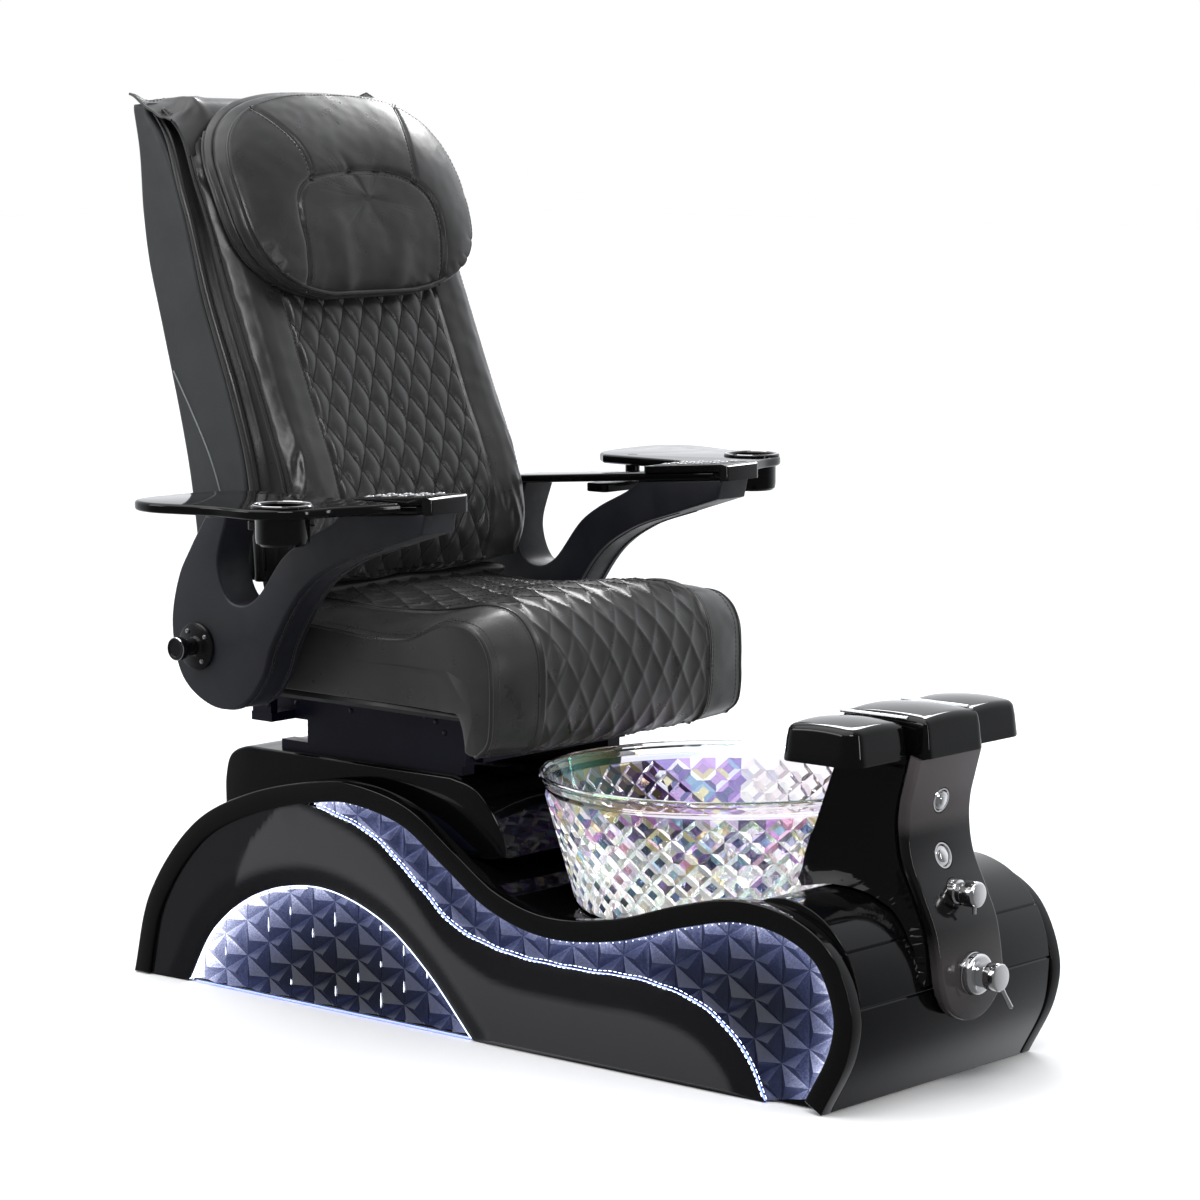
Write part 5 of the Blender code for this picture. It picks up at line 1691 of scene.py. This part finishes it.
def flap():
    """Leather flap laid over the top of the backrest, with drooping pointed corners."""
    line = curve([
        (-0.7035, 1.4085), (-0.690, 1.4090), (-0.668, 1.410), (-0.640, 1.412), (-0.612, 1.404),
        (-0.590, 1.380), (-0.575, 1.352), (-0.563, 1.325),
    ], 64)
    ys = np.linspace(-0.266, 0.266, 121)
    ways = np.gradient(line, axis=0)
    ways /= np.linalg.norm(ways, axis=1)[:, None]
    out = np.stack([-ways[:, 1], ways[:, 0]], 1)
    out *= np.sign(out[:, 1:2] + 1e-9)
    share = np.linspace(0, 1, 64)
    rows = []
    for y in ys:
        near = abs(y) / 0.266
        edge = step_up(near, 0.72, 1.0)
        droop = 0.026 * edge * np.exp(-(((share - 0.42) / 0.26) ** 2)) + 0.004 * near**2 * share
        fold = 0.0026 * np.exp(-(((y + 0.10 + 0.25 * share) / 0.012) ** 2))
        fold += 0.0026 * np.exp(-(((y - 0.12 - 0.22 * share) / 0.012) ** 2))
        fold += 0.0045 * np.exp(-(((near - 0.78) / 0.035) ** 2)) * np.exp(-(((share - 0.3) / 0.3) ** 2))
        swell = 0.0015 * math.sin(y * 23.0) * np.sin(np.pi * share)
        lift = 0.0125 * step_up(near, 0.86, 1.0) * np.exp(-((share / 0.13) ** 2))
        point = line + out * (fold + swell - droop + lift)[:, None]
        point[:, 1] = np.minimum(point[:, 1], 1.4225)
        rows.append(np.stack([point[:, 0], np.full(64, y), point[:, 1]], 1))
    top = np.array(rows)
    normal = grid_normals(top, False)
    if normal[..., 2].mean() < 0:
        normal = -normal
    under = top - normal * 0.0022
    sheet = Shape()
    loop = np.concatenate([top, under[:, ::-1]], 1)
    sheet.grid(loop)
    cover = build(sheet, "back_flap_cover", LEATHER, "back", "back_flap", 40)
    hem, thread = Shape(), Shape()
    for sign in (0, -1):
        hem.tube(evenly(top[sign, :40] + np.array((0, 0, -0.0004)), spacing=0.005), 0.0022, 6)
    hem.tube(evenly(top[:, 0] + np.array((0.002, 0, -0.001)), spacing=0.006), 0.0020, 6)
    stitches(thread, evenly(top[4:-4, 5] + np.array((0, 0, 0.0003)), spacing=0.004), radius=0.0006)
    build(hem, "flap_hem", PIPING, "back")
    build(thread, "flap_stitches", THREAD, "back")


PILLOW_FRONT = [
    (-0.548, 1.419), (-0.515, 1.405), (-0.490, 1.385), (-0.446, 1.300), (-0.424, 1.220), (-0.415, 1.150),
    (-0.414, 1.110), (-0.424, 1.094),
]
PILLOW_REAR = [(-0.450, 1.096), (-0.5145, 1.250), (-0.567, 1.350), (-0.592, 1.405), (-0.597, 1.420)]
PILLOW_HALF, PILLOW_MID, PILLOW_HIGH = 0.262, 1.257, 0.1635
# Side of the pillow, from the front edge to the rear: (share of the depth, share of the outline)
PILLOW_SIDE = [
    (0.90, 0.975), (0.72, 0.990), (0.55, 0.985), (0.46, 0.968), (0.38, 0.985), (0.20, 1.0),
    (0.06, 0.992), (0.0, 0.96), (0.0, 0.80), (0.0, 0.5), (0.0, 0.04),
]
SHIELD = [
    (-0.158, 1.085), (-0.150, 1.130), (-0.150, 1.185), (-0.155, 1.225), (-0.150, 1.262), (-0.125, 1.285),
    (-0.070, 1.296), (0.000, 1.298), (0.060, 1.294), (0.110, 1.278), (0.145, 1.248), (0.157, 1.205),
    (0.155, 1.150), (0.150, 1.085),
]
TOP_SEAMS = ([(-0.165, 1.400), (-0.138, 1.368), (-0.120, 1.330), (-0.116, 1.288)],
             [(0.165, 1.400), (0.140, 1.366), (0.122, 1.328), (0.112, 1.278)])


def pillow_x(line, z):
    points = curve(line, 80)
    order = np.argsort(points[:, 1])
    return np.interp(z, points[order, 1], points[order, 0])


def head_pillow():
    """Head pillow: an oval with a U-shaped outer ring, a shield in the middle and a deep two-layer side."""
    around = 168
    angles = np.linspace(0, 2 * math.pi, around, endpoint=False)

    def outline(size):
        c, s = np.cos(angles), np.sin(angles)
        y = PILLOW_HALF * size * np.sign(c) * np.abs(c) ** 0.74
        z = PILLOW_MID + PILLOW_HIGH * size * np.sign(s) * np.abs(s) ** 0.70
        return y, np.maximum(z, PILLOW_MID - 0.160 * size)

    front_shares = [0.03, 0.18, 0.34, 0.48, 0.60, 0.70, 0.78, 0.85, 0.90, 0.94, 0.965, 0.982]
    rows, kinds = [], []
    for share in front_shares:
        y, z = outline(share * 0.965)
        rear, front = pillow_x(PILLOW_REAR, z), pillow_x(PILLOW_FRONT, z)
        deep = np.maximum(front - rear, 0.030)
        edge = np.minimum(0.042, deep * 0.75)
        crown = (1 - share**2.6) ** 0.8
        rows.append(np.stack([rear + edge + (deep - edge) * crown, y, z], 1))
        kinds.append(2 - share)
    for share, size in PILLOW_SIDE:
        y, z = outline(size)
        rear, front = pillow_x(PILLOW_REAR, z), pillow_x(PILLOW_FRONT, z)
        edge = np.minimum(0.042, np.maximum(front - rear, 0.030) * 0.75)
        rows.append(np.stack([rear + edge * share, y, z], 1))
        kinds.append(share)
    grid = np.array(rows)
    hold = np.zeros(grid.shape[:2])
    hold[-4:] = 1.0
    hold[len(front_shares):] = 0.85
    grid = inflate(grid, True, hold, 0.006)
    fine_rows, fine_columns = ((190, 460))
    kind = refine(np.repeat(np.array(kinds)[:, None], 4, 1), fine_rows, 4)[:, 0]
    grid = refine(grid, fine_rows, fine_columns)
    normal = grid_normals(grid)
    centre = grid.reshape(-1, 3).mean(0)
    if ((grid - centre) * normal).sum() < 0:
        normal = -normal
    flat = grid[..., 1:].reshape(-1, 2)
    face = ((kind > 1.01)[:, None] * np.ones(grid.shape[1])).astype(float)
    shield = curve(SHIELD, 160)
    groove = away(flat, shield).reshape(face.shape)
    seams = np.minimum(*(away(flat, curve(s, 40)).reshape(face.shape) for s in TOP_SEAMS))
    inside = within(flat, np.vstack([shield, [(0.15, 1.0), (-0.15, 1.0)]])).reshape(face.shape)
    lift = -0.0050 * np.exp(-((groove / 0.0042) ** 2)) - 0.0040 * np.exp(-((seams / 0.0038) ** 2))
    lift += 0.0065 * (1 - np.exp(-groove / 0.022)) * ~inside
    lift -= 0.0045 * (1 - np.exp(-groove / 0.030)) * inside
    drape = 0.0035 * np.exp(-(((grid[..., 1] + 0.085 - 0.15 * (1.25 - grid[..., 2])) / 0.020) ** 2))
    drape += 0.0030 * np.exp(-(((grid[..., 1] - 0.075 + 0.20 * (1.25 - grid[..., 2])) / 0.024) ** 2))
    lift += drape * inside * step_up(1.25 - grid[..., 2], 0.0, 0.10)
    lift = lift * face + 0.0012 * ripple(grid, 11.0, 5.0) + 0.0005 * ripple(grid, 45.0, 9.0)
    grid = grid + normal * lift[..., None]
    pillow = build(Shape().grid(grid), "pillow_upholstery", LEATHER, "pillow", "head_pillow", 60)
    trim_pillow(grid, kind, shield)


def trim_pillow(grid, kind, shield):
    piping, thread = Shape(), Shape()
    ring = grid[nearest_row(kind, 1.0)]
    piping.tube(evenly(np.vstack([ring, ring[:1]]), spacing=0.006)[:-1], 0.0034, 8, closed=True)
    # The rear piping stops short of the hinge, so that it clears the flap when the pillow is lifted
    ring = grid[nearest_row(kind, 0.03)]
    below = ring[:, 2] < 1.360
    first = int(np.flatnonzero(below & ~np.roll(below, 1))[0])
    piping.tube(evenly(np.roll(ring, -first, axis=0)[: below.sum()], spacing=0.006), 0.0036, 8)
    row = nearest_row(kind, 1.03)
    stitches(thread, evenly(grid[row], spacing=0.004), radius=0.0007)
    face = grid[kind > 1.01].reshape(-1, 3)

    def on_face(line):
        found = []
        for y, z in line:
            gaps = (face[:, 1] - y) ** 2 + (face[:, 2] - z) ** 2
            near = np.argsort(gaps)[:3]
            found.append((face[near, 0].mean(), y, z))
        path = np.array(found)
        for _ in range(3):
            path[1:-1, 0] = (path[:-2, 0] + path[1:-1, 0] + path[2:, 0]) / 3
        return path

    for line in (shield[6:-6], curve(TOP_SEAMS[0], 40), curve(TOP_SEAMS[1], 40)):
        path = on_face(line)
        piping.tube(path, 0.0012, 6)
        beside = on_face(inset_any(line, STITCH_GAP))
        stitches(thread, beside + np.array((0.0006, 0, 0)), radius=0.0006)
    build(piping, "pillow_piping", PIPING, "pillow")
    build(thread, "pillow_stitches", THREAD, "pillow")


def inset_any(line, distance):
    """An open line moved to its right."""
    along = np.gradient(np.asarray(line, float), axis=0)
    along /= np.linalg.norm(along, axis=1)[:, None]
    return line + np.stack([along[:, 1], -along[:, 0]], 1) * distance


# Arms and trays
def board_z(x):
    share = (x - BOARD_REAR[0]) / (BOARD_FRONT[0] - BOARD_REAR[0])
    return BOARD_REAR[1] + (BOARD_FRONT[1] - BOARD_REAR[1]) * share


def under_board(x):
    return (x, board_z(x) - BOARD_THICK - GAP)


def rounded(low, high, radius, steps=8):
    """Outline of a rectangle with rounded corners."""
    points = []
    for cx, cy, start in (
        (high[0] - radius, high[1] - radius, 0), (low[0] + radius, high[1] - radius, 90),
        (low[0] + radius, low[1] + radius, 180), (high[0] - radius, low[1] + radius, 270),
    ):
        arc(points, (cx, cy), radius, start, start + 90, steps)
    return points


def arms():
    lobe = curve([
        under_board(-0.428), (-0.464, 0.724), (-0.490, 0.679), (-0.506, 0.600), (-0.482, 0.520),
        (-0.415, 0.482), (-0.353, 0.489), (-0.307, 0.536), (-0.286, 0.587), (-0.221, 0.677),
        (-0.150, 0.722), (-0.060, 0.752), (0.030, 0.780),
    ], 120)
    cove = curve([
        under_board(-0.135), (-0.160, 0.782), (-0.220, 0.753), (-0.260, 0.726), (-0.320, 0.658),
        (-0.351, 0.645), (-0.381, 0.653), (-0.402, 0.704), under_board(-0.380),
    ], 80)
    outline = np.vstack([lobe, [under_board(0.038)], cove])
    for side, sign in SIDES:
        body = f"arm_{side}"
        span = sorted((sign * ARM_IN, sign * ARM_OUT))
        pad = prism(f"arm_pad_{side}", outline, "Y", *span, 0.009, 5)
        dress(pad, ARM_LEATHER, body, f"arm_body_{side}")
        thread, seam = Shape(), Shape()
        inner_lobe = inset(lobe, 0.0)
        for y in (sign * (ARM_IN + 0.012), sign * (ARM_OUT - 0.012)):
            line = inner_lobe[12:108]
            out = inset_any(line, 0.0006)
            path = np.stack([out[:, 0], np.full(len(out), y), out[:, 1]], 1)
            seam.tube(evenly(path, spacing=0.006), 0.0011, 6)
            shift = -0.0045 if abs(y) > ARM_MID else 0.0045
            path = path + np.array((0, sign * shift, 0))
            stitches(thread, evenly(path, spacing=0.004), radius=0.0006)
        build(seam, f"arm_seam_{side}", PIPING, body)
        build(thread, f"arm_stitches_{side}", THREAD, body)
        low_corner = (BOARD_REAR[0], sign * ARM_MID - BOARD_HALF)
        plan = rounded(low_corner, (BOARD_FRONT[0], sign * ARM_MID + BOARD_HALF), 0.020)
        board = prism(f"arm_rest_{side}", plan, "Z", -BOARD_THICK, 0.0, 0.004, 4,
                      lambda x, y, z: (x, y, z + board_z(x)))
        dress(board, PIANO, body, f"arm_board_{side}")
        console(side, sign, body)
        hub(side, sign, body)
        tray(side, sign, body)


def console(side, sign, body):
    """Key console on the front of the arm: a sloping glossy box with a flat key field."""
    mid = sign * ARM_MID
    plan = rounded((-0.120, mid - 0.046), (0.053, mid + 0.046), 0.012)

    def slope(x, y, z):
        low = 0.811 if x > 0.0415 else board_z(x) + GAP
        high = np.interp(x, [-0.120, 0.047, 0.053], [board_z(-0.12) + 0.011, 0.838, 0.834])
        return x, y, low + (high - low) * z

    case = prism(f"console_case_{side}", plan, "Z", 0.0, 1.0)
    split(case, 0.25)
    work = case.data
    for vertex in work.vertices:
        vertex.co = Vector(slope(*vertex.co))
    soften = case.modifiers.new("edges", "BEVEL")
    soften.width, soften.segments, soften.angle_limit = 0.003, 3, math.radians(50)
    bake(case)
    dress(case, SMOKE, body, f"console_{side}")

    def on_top(x):
        return float(np.interp(x, [-0.120, 0.047], [board_z(-0.12) + 0.011, 0.838]))

    area = rounded((-0.106, mid - 0.036), (0.036, mid + 0.036), 0.008)
    field = prism(
        f"key_field_{side}", area, "Z", -0.001, 0.0008, 0.0004, 2, lambda x, y, z: (x, y, z + on_top(x)))
    dress(field, SATIN, body)
    keys, marks = Shape(), Shape()
    key = [(0.0, 0.0022), (0.0062, 0.0019), (0.0076, 0.0008), (0.0078, -0.0008), (0.0, -0.0008)]
    mark = [(0.0, 0.0026), (0.0016, 0.0025), (0.0018, 0.0019), (0.0, 0.0019)]
    for row in range(3):
        for column in range(4):
            x, y = -0.088 + 0.034 * column, mid + (row - 1) * 0.022
            spot = (x, y, on_top(x) + 0.0008)
            keys.turned(key, spot, (-0.09, 0, 1), 24)
            marks.turned(mark, spot, (-0.09, 0, 1), 12)
    build(keys, f"console_keys_{side}", CHROME_DULL, body)
    build(marks, f"key_marks_{side}", KEY_WHITE, body)


def hub(side, sign, body):
    place = PIVOT + np.array((0, sign * (ARM_OUT + GAP), 0))
    facing = (0, sign, 0)
    flange = [(0.0, 0.0062), (0.0350, 0.0056), (0.0368, 0.0044), (0.0375, 0.0024), (0.0375, 0.0), (0.0, 0.0)]
    plate = Shape().turned(flange, place, facing, 64)
    stand = [(0.0, 0.0345), (0.0128, 0.0345), (0.0130, 0.0330), (0.0130, 0.0090), (0.0165, 0.0056),
             (0.0, 0.0056)]
    plate.turned(stand, place, facing, 48)
    cap = [(0.0, 0.0462), (0.0120, 0.0462), (0.0132, 0.0474), (0.0160, 0.0478), (0.0176, 0.0462),
           (0.0180, 0.0440), (0.0180, 0.0360), (0.0172, 0.0340), (0.0, 0.0340)]
    plate.turned(cap, place, facing, 64)
    build(plate, f"hub_{side}", SATIN, body, f"pivot_hub_{side}")
    trim = Shape()
    turn = np.linspace(0, 2 * math.pi, 48, endpoint=False)
    centre = place + np.array((0, sign * 0.0455, 0))
    circle = np.stack([0.0172 * np.cos(turn), 0 * turn, 0.0172 * np.sin(turn)], 1)
    trim.tube(centre + circle, 0.0011, 8, closed=True)
    build(trim, f"hub_ring_{side}", CHROME, body)
    screws = Shape()
    screw = [(0.0012, 0.0014), (0.0018, 0.0022), (0.0034, 0.0018), (0.0040, 0.0006), (0.0040, -0.0010),
             (0.0, -0.0010)]
    for angle in (35, 125, 215, 305):
        a = math.radians(angle)
        spot = place + np.array((0.0275 * math.cos(a), sign * 0.0056, 0.0275 * math.sin(a)))
        screws.turned(screw, spot, facing, 24)
    build(screws, f"hub_screws_{side}", STEEL, body)


def tray(side, sign, body):
    pivot = np.array((TRAY_PIVOT[0], sign * TRAY_PIVOT[1], 0.0))
    cup = np.array((CUP[0], sign * CUP[1], 0.0))
    arm = prism(f"tray_bracket_{side}", rounded((-0.272, min(sign * 0.330, sign * 0.440)),
                (-0.228, max(sign * 0.330, sign * 0.440)), 0.010), "Z", 0.772, 0.786, 0.002, 3)
    dress(arm, SATIN, body)
    post = [(0.0, 0.0420), (0.0060, 0.0418), (0.0070, 0.0408), (0.0070, 0.0262), (0.0120, 0.0258),
            (0.0120, -0.0040), (0.0, -0.0040)]
    shape = Shape().turned(post, pivot + np.array((0, 0, 0.785)), (0, 0, 1), 32)
    build(shape, f"tray_post_{side}", SATIN, body, f"tray_pivot_{side}")
    outline = curve([
        (0.006, 0.394), (-0.008, 0.440), (-0.030, 0.500), (-0.046, 0.560), (-0.090, 0.598), (-0.180, 0.603),
        (-0.283, 0.627), (-0.332, 0.606), (-0.345, 0.520), (-0.325, 0.430), (-0.290, 0.396),
    ], 110)
    outline = outline * np.array((1.0, sign))
    slab = prism(f"tray_top_{side}", outline, "Z", TRAY_Z, TRAY_Z + TRAY_THICK, 0.0055, 5)
    cutters = []
    for name, place, radius in (("pivot", pivot, 0.0078), ("cup", cup, CUP_R + 0.0008)):
        hole = Shape().turned([(radius, 0.86), (radius, 0.78)], place, (0, 0, 1), 64)
        cutters.append(loose(hole, f"{name}_{side}"))
    carve(slab, *cutters)
    dress(slab, PIANO, f"tray_{side}", f"tray_{side}")
    lip = TRAY_Z + TRAY_THICK + GAP
    profile = [
        (CUP_R - 0.0045, lip + 0.0010), (CUP_R - 0.0020, lip + 0.0034), (0.0440, lip + 0.0038),
        (0.0460, lip + 0.0022), (0.0460, lip), (CUP_R, lip), (CUP_R, 0.7830), (CUP_R - 0.0010, 0.7750),
        (CUP_R - 0.0050, 0.7712), (0.0040, 0.7710), (0.0040, 0.7745), (CUP_R - 0.0075, 0.7755),
        (CUP_R - 0.0045, 0.7800),
    ]
    steps = 72
    holder = Shape().turned(profile, cup, (0, 0, 1), steps)
    holder.faces = holder.faces[:-2]
    last = (len(profile) - 1) * steps
    for c in range(steps):
        d = (c + 1) % steps
        holder.faces.append((last + c, last + d, d, c))
    build(holder, f"cup_well_{side}", PIANO, f"tray_{side}", f"cup_holder_{side}")
    rings = Shape()
    turn = np.linspace(0, 2 * math.pi, 64, endpoint=False)
    for z, r in ((lip + 0.0036, 0.0425),):
        circle = np.stack([r * np.cos(turn), r * np.sin(turn), np.full(64, z)], 1)
        rings.tube(cup + circle, 0.0009, 6, closed=True)
    build(rings, f"cup_ring_{side}", CHROME, f"tray_{side}")


# Running gear
SIDE_BOLTS = [
    (-0.140, 0.474), (-0.118, 0.468), (-0.126, 0.480), (-0.100, 0.452), (-0.300, 0.466), (-0.420, 0.466),
]


def bolts():
    """Bolt heads on the seat carriage and on its flanks."""
    shape = Shape()
    small = [(0.0, 0.0018), (0.0030, 0.0016), (0.0044, 0.0006), (0.0046, -0.0010), (0.0, -0.0010)]
    large = [(0.0, 0.0026), (0.0050, 0.0022), (0.0060, 0.0008), (0.0060, -0.0010), (0.0, -0.0010)]
    for _, sign in SIDES:
        for x, z in SIDE_BOLTS:
            shape.turned(small, (x, sign * 0.190, z), (0, sign, 0), 20)
        for x, z in ((-0.434, 0.470), (-0.458, 0.530)):
            shape.turned(large, (x, sign * 0.2395, z), (0, sign, 0), 20)
    build(shape, "carriage_bolts", DARK_STEEL, "seat")


def dress_cad():
    """Procedural materials on the CAD nodes that show as they are."""
    looks = {
        "floor_pan": SATIN, "slide_rail_right": NAVY, "slide_rail_left": NAVY, "slide_tube": STEEL,
        "drain_fitting": CHROME, "drain_hose": RUBBER, "drain_pump": SATIN, "footrest_pin_right": STEEL,
        "footrest_pin_left": STEEL, "seat_frame": NAVY, "seat_board": BOARD, "pivot_shaft": STEEL,
        "slide_rod": CHROME, "recline_tube": STEEL, "recline_rod": CHROME, "back_frame": NAVY,
        "massage_carriage": STEEL, "massage_rollers": RUBBER,
    }
    for name, look in looks.items():
        node = frame["nodes"][name]
        if not node.material_slots:
            node.data.materials.append(look)
        for holder in node.material_slots:
            holder.material = look


# Studio
def floor_look():
    look = Look("pale_floor", (0.9, 0.9, 0.9), 0.8)
    look.shades(look.noise(0.8), 0.98, 1.02)
    return look.material


def studio():
    scene = bpy.context.scene
    ground = prism("ground", rounded((-30.0, -30.0), (30.0, 30.0), 3.0), "Z", -0.05, -0.0012)
    ground.data.materials.append(FLOOR)
    ground.visible_glossy = False
    world = bpy.data.worlds.new("studio")
    scene.world = world
    world.use_nodes = True
    tree = world.node_tree
    glow, seen = tree.nodes["Background"], tree.nodes.new("ShaderNodeBackground")
    glow.inputs["Color"].default_value = (0.95, 0.97, 1.0, 1.0)
    seen.inputs["Color"].default_value = (1.0, 1.0, 1.0, 1.0)
    # A white backdrop behind and above the object, and a dark studio in front of it
    way = tree.nodes.new("ShaderNodeTexCoord")
    toward = tree.nodes.new("ShaderNodeVectorMath")
    toward.operation = "DOT_PRODUCT"
    toward.inputs[1].default_value = (-0.60, 0.68, 0.42)
    level = tree.nodes.new("ShaderNodeMapRange")
    level.interpolation_type = "SMOOTHSTEP"
    for socket, value in (("From Min", -0.35), ("From Max", 0.75), ("To Min", 0.16), ("To Max", 1.15)):
        level.inputs[socket].default_value = value
    tree.links.new(way.outputs["Generated"], toward.inputs[0])
    tree.links.new(toward.outputs["Value"], level.inputs["Value"])
    tree.links.new(level.outputs["Result"], glow.inputs["Strength"])
    choice, ray = tree.nodes.new("ShaderNodeMixShader"), tree.nodes.new("ShaderNodeLightPath")
    tree.links.new(ray.outputs["Is Camera Ray"], choice.inputs["Fac"])
    tree.links.new(glow.outputs["Background"], choice.inputs[1])
    tree.links.new(seen.outputs["Background"], choice.inputs[2])
    tree.links.new(choice.outputs["Shader"], tree.nodes["World Output"].inputs["Surface"])
    scene.view_settings.view_transform = "Standard"
    for name, place, target, size, power in LIGHTS:
        data = bpy.data.lights.new(name, "AREA")
        data.shape = "RECTANGLE"
        data.size, data.size_y = size
        data.energy = power
        lamp_object = bpy.data.objects.new(name, data)
        lamp_object.location = place
        way = Vector(target) - Vector(place)
        lamp_object.rotation_euler = way.to_track_quat("-Z", "Y").to_euler()
        scene.collection.objects.link(lamp_object)
    data = bpy.data.lights.new("sky", "SUN")
    data.energy = 2.1
    data.angle = math.radians(70)
    sky = bpy.data.objects.new("sky", data)
    sky.rotation_euler = (math.radians(20), math.radians(-12), 0.0)
    scene.collection.objects.link(sky)
    data = bpy.data.cameras.new("camera")
    data.lens = 120.1
    data.sensor_width = 36.0
    camera = bpy.data.objects.new("camera", data)
    camera.location = (4.038, -4.581, 1.429)
    camera.rotation_euler = (math.radians(90 - 7.30), 0.0, math.radians(41.05))
    scene.collection.objects.link(camera)
    scene.camera = camera


LIGHTS = (
    ("key", (2.6, -2.2, 3.4), (0.0, 0.0, 0.6), (1.6, 0.9), 60.0),
    ("fill", (-2.2, -3.2, 2.2), (-0.2, 0.0, 0.7), (1.8, 1.0), 30.0),
    ("rim", (-1.6, 3.0, 3.0), (-0.2, 0.0, 0.8), (1.8, 0.8), 55.0),
    ("front", (4.6, 0.8, 1.4), (0.3, 0.0, 0.6), (0.35, 2.2), 25.0),
)
# Pale grey of the painted highlight in the shell's side gap
GAP_HIGHLIGHT_GREY = moulded("gap_highlight_grey", (0.16, 0.17, 0.175), 0.4)
DARK_STEEL = metal("dark_steel", (0.06, 0.06, 0.07), 0.4)
CHROME_DULL = metal("key_silver", (0.35, 0.35, 0.36), 0.3)
KEY_WHITE = moulded("key_mark", (0.6, 0.6, 0.6), 0.5)
LED_SOFT = lamp("lamp_soft", (0.62, 0.74, 1.0), 3.0)
GLASS_LOOK = glass_look()
FLOOR = floor_look()

studio()
base_shell()
side_panels()
plinth()
bowl()
drain()
column()
controls()
footrest()
seat_cushion()
backrest()
back_shell()
flap()
head_pillow()
arms()
bolts()
dress_cad()
